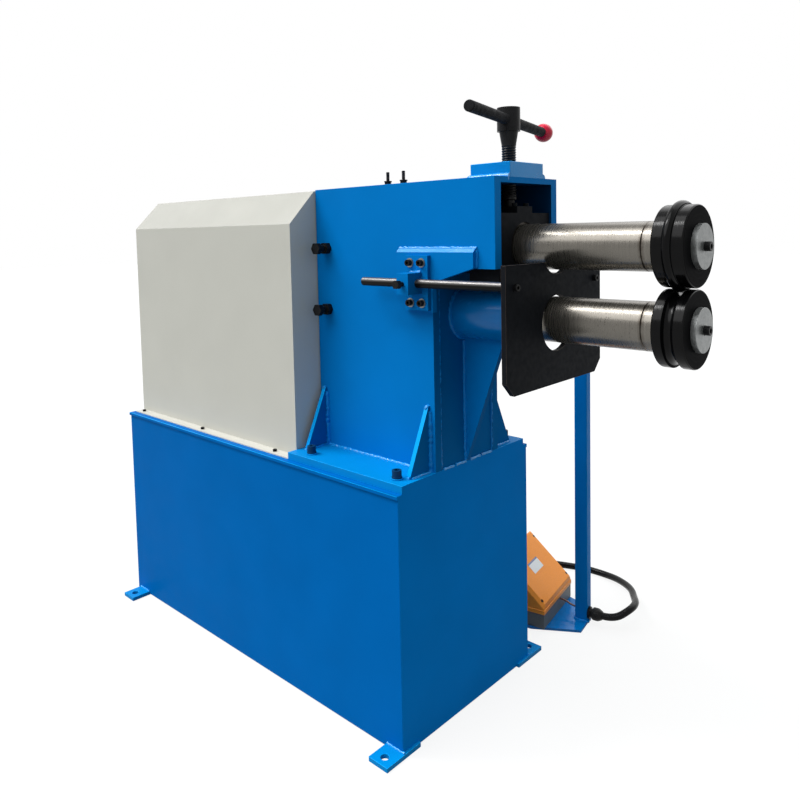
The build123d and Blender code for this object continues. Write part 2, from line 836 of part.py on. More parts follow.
clamp_bolts_at = [(bolt_x, bolt_z, side) for bolt_x, bolt_z in clamp_holes for side in sides]
washer_y = flange_y + clamp_washer_t
with BuildPart() as clamp_bolts:
    for bolt_x, bolt_z, side in clamp_bolts_at:
        cap_screw_y(bolt_x, bolt_z, side * washer_y, side * arm_y, clamp_bolt_d, clamp_head_d)
save(clamp_bolts, "clamp_bolts")

with BuildPart() as clamp_washers:
    for bolt_x, bolt_z, side in clamp_bolts_at:
        rod_y_way(bolt_x, bolt_z, clamp_washer_d / 2, side * flange_y, side * washer_y)
        rod_y_way(bolt_x, bolt_z, clamp_bolt_seat, side * flange_y, side * washer_y, Mode.SUBTRACT)
save(clamp_washers, "clamp_washers")


def lock_screw(side):
    tip_y = rod_y + rod_r + move_gap
    seat_y = block_end_y + lock_stick_out
    rod_y_way(clamp_x, clamp_z, lock_r, side * tip_y, side * seat_y)
    hex_y_way(clamp_x, clamp_z, lock_head_hex, side * seat_y, side * (seat_y + lock_head))


with BuildPart() as near_lock_screw:
    lock_screw(-1)
save(near_lock_screw, "near_lock_screw")

with BuildPart() as far_lock_screw:
    lock_screw(1)
save(far_lock_screw, "far_lock_screw")

# Stop plate on its two rods
plate_back = plate_x - plate_thickness
plate_half = plate_width / 2
plate_bolt_seat = plate_bolt_d / 2 + seat_fit
corner_z = plate_bottom + plate_corner
with BuildPart() as stop_plate:
    profile_x_way([(-plate_half, plate_top), (plate_half, plate_top), (plate_half, corner_z),
                   (plate_half - plate_corner, plate_bottom), (plate_corner - plate_half, plate_bottom),
                   (-plate_half, corner_z)], plate_back, plate_x)
    rod_x_way(0, lower_axis_z - plate_hole_drop, plate_hole_r, plate_back, plate_x, Mode.SUBTRACT)
    rod_x_way(0, upper_axis_z, plate_notch_r, plate_back, plate_x, Mode.SUBTRACT)
    for side in sides:
        rod_x_way(side * rod_y, clamp_z, plate_bolt_seat, plate_back, plate_x, Mode.SUBTRACT)
save(stop_plate, "stop_plate")

rod_bolt_tip = plate_back - 2 * plate_thickness
with BuildPart() as gauge_rods:
    for side in sides:
        rod_x_way(side * rod_y, clamp_z, rod_r, plate_back - rod_length, plate_back)
        rod_x_way(side * rod_y, clamp_z, plate_bolt_seat, rod_bolt_tip - move_gap, plate_back, Mode.SUBTRACT)
        cap_screw_x(side * rod_y, clamp_z, plate_x, rod_bolt_tip, plate_bolt_d, clamp_head_d)
save(gauge_rods, "gauge_rods")

# Shafts with a groove that marks the collar in front of each roller
nose_x = roller_end - nose_gap
shoulder_x = pivot_x + journal_shoulder
stub_end = base_rear - coupling_gap / 2
coupling_x = base_rear - coupling_gap - coupling_half
collar_line = [(collar_x - collar_groove, shaft_r), (collar_x, shaft_r - collar_groove),
               (collar_x + collar_groove, shaft_r)]
nose_line = [(roller_x, shaft_r), (roller_x, nose_r), (nose_x, nose_r), (nose_x, 0)]
with BuildPart() as lower_shaft:
    turned_x_way(lower_axis_z, [(coupling_x, 0), (coupling_x, stub_r), (stub_end, stub_r),
                                (stub_end, journal_r), (shoulder_x, journal_r),
                                (shoulder_x, shaft_r)] + collar_line + nose_line)
    rod_x_way(0, lower_axis_z, end_bolt_d / 2 + seat_fit, nose_x - 3 * end_bolt_d, nose_x, Mode.SUBTRACT)
save(lower_shaft, "lower_shaft")

with BuildPart() as upper_shaft:
    turned_x_way(upper_axis_z, [(body_rear, 0), (body_rear, journal_r), (shoulder_x, journal_r),
                                (shoulder_x, shaft_r)] + collar_line + nose_line)
    rod_x_way(0, upper_axis_z, end_bolt_d / 2 + seat_fit, nose_x - 3 * end_bolt_d, nose_x, Mode.SUBTRACT)
save(upper_shaft, "upper_shaft")

# Gears that tie the shafts together
with BuildPart() as lower_gear:
    gear_wheel(tooth_outline(gear_module, gear_teeth, gear_stub, gear_lash, 90 + 180 / gear_teeth),
               lower_axis_z, gear_x, gear_x + gear_width)
    rod_x_way(0, lower_axis_z, shaft_r + seat_fit, gear_x, gear_x + gear_width, Mode.SUBTRACT)
save(lower_gear, "lower_gear")

with BuildPart() as upper_gear:
    gear_wheel(tooth_outline(gear_module, gear_teeth, gear_stub, gear_lash, -90),
               upper_axis_z, gear_x, gear_x + gear_width)
    rod_x_way(0, upper_axis_z, shaft_r + seat_fit, gear_x, gear_x + gear_width, Mode.SUBTRACT)
save(upper_gear, "upper_gear")

# Rollers with bead and groove, held by end washers
roller_mid = roller_x + roller_width / 2
with BuildPart() as upper_roller:
    rod_x_way(0, upper_axis_z, upper_roller_r, roller_x, roller_end)
    fillet(upper_roller.edges().filter_by(GeomType.CIRCLE), roller_edge)
    with BuildSketch(Plane.XZ) as bead_section:
        with Locations((roller_mid, upper_axis_z + upper_roller_r - bead_sink)):
            Circle(bead_r)
    revolve(bead_section.sketch, axis=Axis((0, 0, upper_axis_z), (1, 0, 0)))
    rod_x_way(0, upper_axis_z, nose_r + seat_fit, roller_x, roller_end, Mode.SUBTRACT)
save(upper_roller, "upper_roller")

with BuildPart() as lower_roller:
    rod_x_way(0, lower_axis_z, lower_roller_r, roller_x, roller_end)
    fillet(lower_roller.edges().filter_by(GeomType.CIRCLE), roller_edge)
    with BuildSketch(Plane.XZ) as groove_section:
        with Locations((roller_mid, lower_axis_z + lower_roller_r)):
            Circle(groove_r)
    revolve(groove_section.sketch, axis=Axis((0, 0, lower_axis_z), (1, 0, 0)), mode=Mode.SUBTRACT)
    rod_x_way(0, lower_axis_z, nose_r + seat_fit, roller_x, roller_end, Mode.SUBTRACT)
save(lower_roller, "lower_roller")


def retainer(axis_z):
    seat_x = roller_end + end_washer_t
    rod_x_way(0, axis_z, end_washer_r, roller_end, seat_x)
    cap_screw_x(0, axis_z, seat_x, nose_x - 2 * end_bolt_d, end_bolt_d, end_head_d)


with BuildPart() as lower_retainer:
    retainer(lower_axis_z)
save(lower_retainer, "lower_retainer")

with BuildPart() as upper_retainer:
    retainer(upper_axis_z)
save(upper_retainer, "upper_retainer")

# Sheet cover over the drive
cover_x0 = cabinet_rear + cover_rear_gap
cover_x1 = base_rear - cover_front_gap
cover_half = cover_width / 2
cover_screws_at = [(cover_x0 + cover_screw_first + i * cover_screw_pitch, side * cover_screw_y)
                   for i in range(3) for side in sides]


def cover_outline(inset):
    half = cover_half - inset
    top = cover_top_z - inset
    slope = cover_chamfer - inset * (2 - 2 ** 0.5)
    return [(-half, cabinet_height), (half, cabinet_height), (half, top - slope), (half - slope, top),
            (slope - half, top), (-half, top - slope)]


with BuildPart() as gear_cover:
    profile_x_way(cover_outline(0), cover_x0, cover_x1)
    block(cover_x0, cover_x1, -cover_half - cover_flange, cover_half + cover_flange, cabinet_height,
          cabinet_height + cover_flange_t)
    profile_x_way(cover_outline(cover_sheet), cover_x0 + cover_sheet, cover_x1 - cover_sheet, Mode.SUBTRACT)
    block(cover_x1 - 2 * cover_sheet, cover_x1, -cover_window, cover_window, cabinet_height,
          arm_inner_z - cover_sheet, Mode.SUBTRACT)
    for screw_px, screw_py in cover_screws_at:
        rod_z_way(screw_px, screw_py, cover_screw_d / 2 + seat_fit, cabinet_height,
                  cabinet_height + cover_flange_t, Mode.SUBTRACT)
save(gear_cover, "gear_cover")

with BuildPart() as cover_screws:
    for screw_px, screw_py in cover_screws_at:
        cap_screw_z(screw_px, screw_py, cabinet_height + cover_flange_t, cabinet_height, cover_screw_d,
                    2 * cover_screw_d)
save(cover_screws, "cover_screws")

# Coupling between lower shaft and reducer
with BuildPart() as shaft_coupling:
    for flange_x in (coupling_x - coupling_half, coupling_x):
        rod_x_way(0, lower_axis_z, coupling_r, flange_x + seat_fit, flange_x + coupling_half)
    rod_x_way(0, lower_axis_z, stub_r + seat_fit, coupling_x, coupling_x + coupling_half, Mode.SUBTRACT)
    rod_x_way(0, lower_axis_z, output_r + seat_fit, coupling_x - coupling_half, coupling_x, Mode.SUBTRACT)
save(shaft_coupling, "shaft_coupling")

# Two stage reducer
first_module = 2 * reducer_drop / (first_pinion_teeth + first_wheel_teeth)
second_module = 2 * reducer_drop / (second_pinion_teeth + second_wheel_teeth)
lay_axis_z = lower_axis_z - reducer_drop
first_wheel_r = first_module * (first_wheel_teeth / 2 + reducer_stub)
second_wheel_r = second_module * (second_wheel_teeth / 2 + reducer_stub)
reducer_x1 = base_rear - reducer_front
reducer_x0 = reducer_x1 - reducer_length
inner_x0 = reducer_x0 + reducer_wall
inner_x1 = reducer_x1 - reducer_wall
inner_half = first_wheel_r + wheel_room
inner_z0 = lay_axis_z - first_wheel_r - wheel_room
inner_z1 = lower_axis_z + second_wheel_r + wheel_room
reducer_z0 = inner_z0 - reducer_wall
first_x0 = inner_x0 + wheel_room
first_x1 = first_x0 + first_face
second_x0 = first_x1 + stage_gap
second_x1 = second_x0 + second_face
output_x0 = second_x0 - wheel_room
with BuildPart() as reducer_housing:
    block(reducer_x0, reducer_x1, -inner_half - reducer_wall, inner_half + reducer_wall, reducer_z0,
          inner_z1 + reducer_wall)
    block(inner_x0, inner_x1, -inner_half, inner_half, inner_z0, inner_z1, Mode.SUBTRACT)
    rod_x_way(0, lower_axis_z, output_boss_r, inner_x1, reducer_x1 + output_boss)
    rod_x_way(0, lower_axis_z, output_r + running_fit, inner_x1, reducer_x1 + output_boss, Mode.SUBTRACT)
    rod_x_way(0, lower_axis_z, rotor_shaft_r + running_fit, reducer_x0, inner_x0, Mode.SUBTRACT)
    rod_x_way(0, lay_axis_z, layshaft_r + running_fit, inner_x0 - reducer_wall / 2, inner_x0, Mode.SUBTRACT)
    rod_x_way(0, lay_axis_z, layshaft_r + running_fit, inner_x1, inner_x1 + reducer_wall / 2, Mode.SUBTRACT)
save(reducer_housing, "reducer_housing")

with BuildPart() as reducer_output:
    rod_x_way(0, lower_axis_z, output_r, output_x0, coupling_x)
    gear_wheel(tooth_outline(second_module, second_wheel_teeth, reducer_stub, reducer_lash, -90),
               lower_axis_z, second_x0, second_x1)
save(reducer_output, "reducer_output")

lay_end = reducer_wall / 2 - move_gap
with BuildPart() as reducer_layshaft:
    rod_x_way(0, lay_axis_z, layshaft_r, inner_x0 - lay_end, inner_x1 + lay_end)
    gear_wheel(tooth_outline(first_module, first_wheel_teeth, reducer_stub, reducer_lash,
                             90 + 180 / first_wheel_teeth), lay_axis_z, first_x0, first_x1)
    gear_wheel(tooth_outline(second_module, second_pinion_teeth, reducer_stub, reducer_lash,
                             90 + 180 / second_pinion_teeth), lay_axis_z, first_x1, second_x1 + wheel_room)
save(reducer_layshaft, "reducer_layshaft")

# Motor
motor_x1 = reducer_x0
motor_x0 = motor_x1 - motor_length
drive_shield = motor_x1 - motor_shield
fan_shield = motor_x0 + fan_room
core_x0 = fan_shield + motor_shield
core_end = 3 * wheel_room
with BuildPart() as motor_housing:
    rod_x_way(0, lower_axis_z, motor_r, motor_x0, motor_x1)
    block(core_x0 + motor_shield, drive_shield - motor_shield, -motor_r / 2, motor_r / 2, lower_axis_z,
          lower_axis_z + motor_r * 1.5)
    rod_x_way(0, lower_axis_z, rotor_r + air_gap, core_x0, drive_shield, Mode.SUBTRACT)
    rod_x_way(0, lower_axis_z, rotor_shaft_r + running_fit, motor_x0, motor_x1, Mode.SUBTRACT)
    rod_x_way(0, lower_axis_z, fan_r + 2 * wheel_room, motor_x0 + wheel_room, fan_shield, Mode.SUBTRACT)
    rod_x_way(0, lower_axis_z, grille_r, motor_x0, fan_shield, Mode.SUBTRACT)
save(motor_housing, "motor_housing")

with BuildPart() as motor_rotor:
    rod_x_way(0, lower_axis_z, rotor_shaft_r, fan_shield - fan_width - wheel_room, first_x1)
    rod_x_way(0, lower_axis_z, rotor_r, core_x0 + core_end, drive_shield - core_end)
    rod_x_way(0, lower_axis_z, fan_r, fan_shield - fan_width - wheel_room, fan_shield - wheel_room)
    gear_wheel(tooth_outline(first_module, first_pinion_teeth, reducer_stub, reducer_lash, -90),
               lower_axis_z, first_x0, first_x1)
save(motor_rotor, "motor_rotor")

stand_half = inner_half + reducer_wall
with BuildPart() as gearmotor_stand:
    block(reducer_x0, reducer_x1, -stand_half, stand_half, cabinet_height, reducer_z0)
    block(reducer_x0, reducer_x1, stand_side - stand_half, stand_half - stand_side,
          cabinet_height + stand_plate, reducer_z0 - stand_plate, Mode.SUBTRACT)
save(gearmotor_stand, "gearmotor_stand")

# Foot switch stand with post
stand_way = (cos(radians(stand_turn)), sin(radians(stand_turn)), 0)
floor_plane = Plane(origin=(stand_x, stand_y, 0), x_dir=stand_way)
end_plane = Plane(origin=floor_plane.origin, x_dir=floor_plane.x_dir, z_dir=floor_plane.y_dir * -1)


def stand_block(u0, u1, v0, v1, z0, z1, mode=Mode.ADD):
    with BuildSketch(floor_plane.offset(z0)) as outline:
        with Locations(((u0 + u1) / 2, (v0 + v1) / 2)):
            Rectangle(abs(u1 - u0), abs(v1 - v0))
    extrude(outline.sketch, amount=z1 - z0, mode=mode)


def stand_profile(corners, v0, v1, mode=Mode.ADD):
    with BuildSketch(end_plane.offset(-v0)) as shape:
        with BuildLine():
            Polyline(*corners, close=True)
        make_face()
    extrude(shape.sketch, amount=v0 - v1, mode=mode)


def stand_rod(u, z, r, v0, v1, mode=Mode.ADD):
    with BuildSketch(end_plane.offset(-v0)) as disc:
        with Locations((u, z)):
            Circle(r)
    extrude(disc.sketch, amount=v0 - v1, mode=mode)


def stand_post(u, v, r, z0, z1, mode=Mode.ADD):
    with BuildSketch(floor_plane.offset(z0)) as disc:
        with Locations((u, v)):
            Circle(r)
    extrude(disc.sketch, amount=z1 - z0, mode=mode)


with BuildPart() as pedal_stand:
    with BuildSketch(floor_plane) as sole:
        with BuildLine():
            Polyline((0, 0), (0, stand_depth - 2 * stand_front), (-stand_cut, stand_depth - stand_front),
                     (-stand_length, stand_depth - stand_front), (-stand_length, -stand_front),
                     (-stand_cut, -stand_front), close=True)
        make_face()
    extrude(amount=stand_sheet)
    stand_block(-post_size, 0, post_v, post_v + post_size, stand_sheet, post_top)
    fillet(pedal_stand.edges().filter_by(Axis.Z).group_by(SortBy.LENGTH)[-1], post_wall)
    stand_block(post_wall - post_size, -post_wall, post_v + post_wall, post_v + post_size - post_wall,
                stand_sheet, post_top, Mode.SUBTRACT)
save(pedal_stand, "pedal_stand")

box_top = post_top + box_height
button_u = -box_inset + box_u / 2
button_v = box_front_v + box_v / 2
with BuildPart() as control_box:
    stand_block(-box_inset, box_u - box_inset, box_front_v, box_front_v + box_v, post_top, box_top)
    stand_block(box_wall - box_inset, box_u - box_inset - box_wall, box_front_v + box_wall,
                box_front_v + box_v - box_wall, post_top + box_wall, box_top - box_wall, Mode.SUBTRACT)
    stand_post(button_u, button_v, button_stem_r + running_fit, box_top - box_wall, box_top, Mode.SUBTRACT)
save(control_box, "control_box")

button_z = box_top + button_travel + button_gap
with BuildPart() as emergency_button:
    stand_post(button_u, button_v, button_stem_r, box_top - 3 * box_wall, button_z)
    stand_post(button_u, button_v, button_r, button_z, button_z + button_head)
    fillet(emergency_button.faces().sort_by(Axis.Z)[-1].edges(), button_head / 2)
save(emergency_button, "emergency_button")

# Foot switch
pedal_u0 = -pedal_u - pedal_length
pedal_u1 = -pedal_u
pedal_v0 = -pedal_v
pedal_v1 = pedal_width - pedal_v
pin_u = pedal_u1 - treadle_pin_in
with BuildPart() as pedal_base:
    stand_block(pedal_u0, pedal_u1, pedal_v0, pedal_v1, stand_sheet, pedal_base_top)
    stand_block(pedal_u0 + pedal_wall, pedal_u1 - pedal_wall, pedal_v0 + pedal_wall, pedal_v1 - pedal_wall,
                stand_sheet + pedal_wall, pedal_base_top, Mode.SUBTRACT)
    stand_rod(pin_u, treadle_pin_z, treadle_pin_r + running_fit, pedal_v0, pedal_v1, Mode.SUBTRACT)
save(pedal_base, "pedal_base")

rim_z = pedal_base_top + rim_height
high_u = pedal_u1 - hood_run
hood_foot_z = rim_z - hood_seat
hood_roof = hood_high - 2 * pedal_wall


def is_slanted(edge):
    return 0.3 < abs(edge.tangent_at(0.5).Z) < 0.9


with BuildPart() as pedal_hood:
    stand_profile([(pedal_u1, hood_foot_z), (pedal_u1, hood_low), (high_u, hood_high), (pedal_u0, hood_high),
                   (pedal_u0, hood_foot_z)], pedal_v0, pedal_v1)
    chamfer(pedal_hood.edges().filter_by(is_slanted), hood_edge)
    stand_block(pedal_u0 - rim_proud, pedal_u1 + rim_proud, pedal_v0 - rim_proud, pedal_v1 + rim_proud,
                pedal_base_top, rim_z)
    stand_profile([(pedal_u1 - pedal_wall, pedal_base_top), (pedal_u1 - pedal_wall, hood_low - pedal_wall),
                   (high_u, hood_roof), (pedal_u0 + pedal_wall, hood_roof),
                   (pedal_u0 + pedal_wall, pedal_base_top)],
                  pedal_v0 + hood_edge, pedal_v1 - hood_edge, Mode.SUBTRACT)
    stand_block(pedal_u0 + pedal_wall, pedal_u1 - pedal_wall, pedal_v0 + pedal_wall, pedal_v1 - pedal_wall,
                pedal_base_top, rim_z, Mode.SUBTRACT)
    stand_block(pedal_u0 - rim_proud, pedal_u0 + pedal_wall, pedal_v0 + 2 * hood_edge,
                pedal_v1 - 2 * hood_edge, rim_z, foot_mouth_top, Mode.SUBTRACT)
save(pedal_hood, "pedal_hood")

treadle_u0 = pin_u - treadle_reach
treadle_end_z = treadle_pin_z + treadle_rise + treadle_boss_r
treadle_v0 = pedal_v0 + hood_edge + treadle_side_gap
treadle_v1 = pedal_v1 - hood_edge - treadle_side_gap
treadle_top_z = treadle_pin_z + treadle_boss_r
spring_u = pin_u - spring_reach
spring_v = (pedal_v0 + pedal_v1) / 2
with BuildPart() as treadle:
    stand_rod(pin_u, treadle_pin_z, treadle_boss_r, treadle_v0, treadle_v1)
    stand_profile([(pin_u, treadle_top_z), (treadle_u0, treadle_end_z),
                   (treadle_u0, treadle_end_z - treadle_thickness),
                   (pin_u, treadle_top_z - treadle_thickness)], treadle_v0, treadle_v1)
    stand_rod(pin_u, treadle_pin_z, treadle_pin_r, pedal_v0 + treadle_side_gap, pedal_v1 - treadle_side_gap)
save(treadle, "treadle")

spring_floor = stand_sheet + pedal_wall
spring_roof = treadle_top_z - treadle_thickness + treadle_rise * spring_reach / treadle_reach
spring_z0 = spring_floor + spring_wire / 2 + move_gap
spring_height = spring_roof - spring_z0 - 2 * spring_wire
spring_pitch = spring_height / spring_turns
spring_centre = floor_plane.from_local_coords((spring_u, spring_v, spring_z0))
with BuildPart() as treadle_spring:
    with BuildLine() as coil:
        Helix(spring_pitch, spring_height, spring_r, center=spring_centre)
    with BuildSketch(Plane(origin=coil.line @ 0, z_dir=coil.line % 0)) as wire:
        Circle(spring_wire / 2)
    sweep(wire.sketch, path=coil.line, is_frenet=True)
save(treadle_spring, "treadle_spring")

# Glands, cable and foot switch lead
gland_nut_from = gland_foot + gland_gap
gland_nut_to = gland_nut_from + gland_nut
gland_steps = [(0, 0), (0, gland_r), (gland_foot, gland_r), (gland_foot, gland_neck_r),
               (gland_nut_from, gland_neck_r), (gland_nut_from, gland_r), (gland_nut_to, gland_r),
               (gland_length, cable_d / 2 + gland_lip), (gland_length, 0)]


def gland(base_plane):
    with BuildSketch(base_plane) as half:
        with BuildLine():
            Polyline(*gland_steps, close=True)
        make_face()
    revolve(half.sketch, axis=Axis(base_plane.origin, base_plane.x_dir))


post_gland = Plane(origin=floor_plane.from_local_coords((0, gland_v, gland_z)), x_dir=floor_plane.x_dir,
                   z_dir=floor_plane.y_dir)
cabinet_gland_at = (cabinet_gland_x, cabinet_side, cabinet_gland_z)
cabinet_gland = Plane(origin=cabinet_gland_at, x_dir=(0, 1, 0), z_dir=(1, 0, 0))
with BuildPart() as cable_glands:
    gland(post_gland)
    gland(cabinet_gland)
save(cable_glands, "cable_glands")

cable_start = floor_plane.from_local_coords((gland_length, gland_v, gland_z))
cable_lead_out = floor_plane.from_local_coords((gland_length + cable_straight, gland_v, gland_z))
cable_end = (cabinet_gland_x, cabinet_side + gland_length, cabinet_gland_z)
with BuildPart() as control_cable:
    cord([tuple(cable_start), tuple(cable_lead_out), (790.5, 631, 62), (782.5, 689.5, 57),
          (751, 743, 45), (712.5, 806, 39), (639.5, 863.5, 26), (567, 895.5, 12), (494.5, 891.5, 12),
          (428.5, 868, 12), (360.5, 838, 12), (310.5, 772, 12), (288.5, 690, 12), (279.5, 600, 12),
          (275, 510, 12.5), (276, 430, 25), (276.5, 371, cabinet_gland_z), cable_end], cable_d)
save(control_cable, "control_cable")

lead_corners = [(pedal_u1, 93, 44), (pedal_u1 + lead_straight, 93, 44), (-post_size - lead_straight, 80, 39),
                (-post_size, 80, 39)]
with BuildPart() as pedal_lead:
    cord([tuple(floor_plane.from_local_coords(corner)) for corner in lead_corners], lead_d)
save(pedal_lead, "pedal_lead")
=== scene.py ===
"""Looks of the tube beading machine: paint, welds, threads, cables and a plain studio round the frame."""
import math

import bmesh
import bpy
from bpy.props import FloatProperty, FloatVectorProperty, IntProperty, PointerProperty
from mathutils import Matrix, Vector


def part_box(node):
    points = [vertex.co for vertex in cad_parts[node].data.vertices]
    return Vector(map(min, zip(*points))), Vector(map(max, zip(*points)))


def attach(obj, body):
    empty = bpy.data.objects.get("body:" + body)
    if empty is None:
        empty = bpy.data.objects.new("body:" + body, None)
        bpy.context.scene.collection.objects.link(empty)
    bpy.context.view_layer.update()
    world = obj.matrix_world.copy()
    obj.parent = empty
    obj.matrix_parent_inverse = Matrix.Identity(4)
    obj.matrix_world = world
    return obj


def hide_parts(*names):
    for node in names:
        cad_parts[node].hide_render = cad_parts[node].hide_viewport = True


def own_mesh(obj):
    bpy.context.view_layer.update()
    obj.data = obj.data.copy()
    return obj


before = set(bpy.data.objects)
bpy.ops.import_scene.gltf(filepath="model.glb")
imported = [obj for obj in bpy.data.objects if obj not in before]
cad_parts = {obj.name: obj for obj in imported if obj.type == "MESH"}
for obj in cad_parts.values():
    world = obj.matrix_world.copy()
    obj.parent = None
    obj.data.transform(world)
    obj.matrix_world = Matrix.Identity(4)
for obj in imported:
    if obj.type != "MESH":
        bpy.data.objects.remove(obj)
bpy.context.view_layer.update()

bl_info = {
    "name": "Tube beading machine looks",
    "version": (1, 0, 0),
    "blender": (4, 5, 0),
    "location": "View3D > Sidebar > Beading",
    "description": "Finishes, welds, threads, cables and studio for the tube beading machine",
    "category": "Object",
}

FRAME_BODY = "machine_frame"
TURN = 2 * math.pi
ALONG, ACROSS, UP = Vector((1, 0, 0)), Vector((0, 1, 0)), Vector((0, 0, 1))

# Edges sharper than this are rounded, and smoother ones are shaded as one surface
SHARP = math.radians(35)

# Shares of a face's normal: it looks along an axis, is level, slopes, or catches the light from above
FACING, LEVEL, SLOPING, LIT = 0.9, 0.95, 0.3, 0.2

# Distances that count as none, in metres
TOUCH, HAIR = 1e-4, 1e-5

# Stations along the machine that no box of the frame gives, in metres
COLLAR_X = 1.1285
GUSSET_FACES = (0.2265, 0.2385), (0.6085, 0.6205)
STUDS_X = 0.3675, 0.4265

# Ends of the cable in mm, the first one in the foot switch's own frame
POST_GLAND = 45, 75, 33
WALL_GLAND = 276.5, 322.5, 45


def in_metres(*sizes):
    """Millimetres as metres."""
    return tuple(size / 1000 for size in sizes)


# Settings that a user would change
def colour_setting(name, text, value):
    """A linear colour that the panel shows as a swatch."""
    return FloatVectorProperty(name=name, description=text, default=value, subtype="COLOR", min=0, max=1)


def direction_setting(name, text, value):
    """A direction in the machine's frame."""
    return FloatVectorProperty(name=name, description=text, default=value, subtype="DIRECTION")


def length_setting(name, text, value):
    """A length in metres."""
    return FloatProperty(name=name, description=text, default=value, subtype="DISTANCE", precision=5)


def angle_setting(name, text, degrees):
    """An angle, written here in degrees."""
    return FloatProperty(name=name, description=text, default=math.radians(degrees), subtype="ANGLE")


def level_setting(name, text, value, **limits):
    """An amount that is never below nothing."""
    return FloatProperty(name=name, description=text, default=value, min=0, **limits)


class PaintColours(bpy.types.PropertyGroup):
    """Colours of the painted and moulded pieces."""
    machine: colour_setting("Machine blue", "Paint of body and stand", (0.0, 0.172, 0.535))
    # Painted light: a lighter blue for the base plate, the nut block, the floor tabs and the washers of the
    # base bolts, whose tops catch more light
    plate: colour_setting("Plate blue", "Thicker paint on the base plate and the nut block",
                          (0.0, 0.215, 0.57))
    cabinet: colour_setting("Cabinet blue", "Paint of the cabinet", (0.0, 0.122, 0.43))
    # Painted light: a lighter blue on the faces of the cabinet and the base plate toward +X
    front: colour_setting("Front blue", "Paint of the cabinet's front", (0.0, 0.189, 0.62))
    # Painted shade: a near black blue on the faces inside the arm and under its top plate
    inside: colour_setting("Inner blue", "Thin paint inside the arm", (0.0, 0.03, 0.1))
    # Painted highlight: a lighter blue on the weld beads that face up and on the brackets' top chamfer
    weld: colour_setting("Weld blue", "Paint on the weld beads", (0.01, 0.26, 0.68))
    # Painted highlight: a much lighter blue on rounded edges and gusset slopes that face up
    edge: colour_setting("Edge blue", "Paint on edges that face up", (0.0, 0.36, 0.9))
    bolt: colour_setting("Bolt blue", "Base bolts with paint on them", (0.003, 0.035, 0.1))
    cover: colour_setting("Cover grey", "Paint of the drive cover", (0.5, 0.49, 0.45))
    hood: colour_setting("Hood orange", "Moulded hood of the foot switch", (0.97, 0.305, 0.04))
    pedal: colour_setting("Pedal grey", "Base of the foot switch", (0.13, 0.14, 0.142))
    plate_face: colour_setting("Plate face", "Blank plate on the hood", (0.72, 0.73, 0.76))
    plate_band: colour_setting("Plate band", "Plain band of that plate", (0.1, 0.15, 0.3))
    ball: colour_setting("Ball red", "Ball on the handle bar", (0.62, 0.004, 0.04))
    box: colour_setting("Box grey", "Control box on the post", (0.5, 0.5, 0.48))
    drive: colour_setting("Drive grey", "Motor and reducer", (0.2, 0.22, 0.24))
    lead: colour_setting("Lead brown", "Thin lead of the foot switch", (0.16, 0.07, 0.05))


class MetalColours(bpy.types.PropertyGroup):
    """Colours of the bare and blackened metals."""
    shaft: colour_setting("Turned steel", "Shafts", (0.155, 0.144, 0.127))
    # Painted shade on the lower side and painted highlight on the upper side of the gauge rods
    rod: colour_setting("Oiled rod", "Lower side of the gauge rods", (0.006, 0.0055, 0.005))
    rod_top: colour_setting("Rubbed rod", "Upper side of the gauge rods", (0.17, 0.162, 0.159))
    dull: colour_setting("Dull steel", "Hidden steel", (0.15, 0.14, 0.135))
    oxide: colour_setting("Black oxide", "Bolts, screw and handle bar", (0.005, 0.005, 0.0055))
    iron: colour_setting("Dark iron", "Stop plate and bearing block", (0.008, 0.009, 0.0115))
    worn: colour_setting("Worn iron", "Rubbed edges of the stop plate", (0.10, 0.072, 0.055))
    roller: colour_setting("Roller black", "Beading rollers", (0.004, 0.004, 0.0045))
    zinc: colour_setting("Zinc", "Washers", (0.22, 0.228, 0.228))
    # Painted shade: the bushes are darker than their oil alone makes them, for the shade in their recesses
    bronze: colour_setting("Bronze", "Oiled bushes", (0.035, 0.027, 0.018))
    speck: colour_setting("Rust specks", "Specks on the shafts", (0.03, 0.026, 0.022))
    stain: colour_setting("Oil stain", "Stain beside the collar grooves", (0.03, 0.02, 0.012))


class EdgeSizes(bpy.types.PropertyGroup):
    """How far the edges of plates and sheets are rounded."""
    plate: length_setting("Plate edge", "Rounding of cut plates", 0.0018)
    sheet: length_setting("Sheet edge", "Rounding of thin sheet", 0.0009)
    block: length_setting("Block edge", "Rounding of the welded blocks", 0.003)
    moulded: length_setting("Moulded edge", "Rounding of moulded pieces", 0.0032)
    steps: IntProperty(name="Steps", description="Faces across a rounded edge", default=2, min=1, max=4)


class WeldSizes(bpy.types.PropertyGroup):
    """Size of the weld beads under the paint."""
    seam: length_setting("Seam bead", "Radius of a plain seam", 0.0042)
    heavy: length_setting("Heavy bead", "Radius of the nut block's seam", 0.0105)
    step: length_setting("Ripple step", "Distance between ripples", 0.0045)
    ripple: level_setting("Ripple", "Share by which a ripple swells", 0.2, max=0.5, subtype="FACTOR")
    seed: IntProperty(name="Seed", description="Draw of the ripples", default=4)


class ThreadSizes(bpy.types.PropertyGroup):
    """Threads that are cut in the meshes."""
    screw_pitch: length_setting("Screw pitch", "Pitch of the pressure screw", 0.006)
    screw_depth: length_setting("Screw depth", "Depth of its thread", 0.0024)
    stud_pitch: length_setting("Stud pitch", "Pitch of the studs on the arm", 0.002)
    stud_depth: length_setting("Stud depth", "Depth of their thread", 0.0008)


class CordSizes(bpy.types.PropertyGroup):
    """Cable of the foot switch and its thin lead."""
    cable_d: length_setting("Cable diameter", "Thick cable from the post to the cabinet", 0.0225)
    cable_length: length_setting("Cable length", "Length of the thick cable", 1.2113)
    lead_d: length_setting("Lead diameter", "Lead from the foot switch to the post", 0.006)
    lead_length: length_setting("Lead length", "Length of that lead", 0.0638)


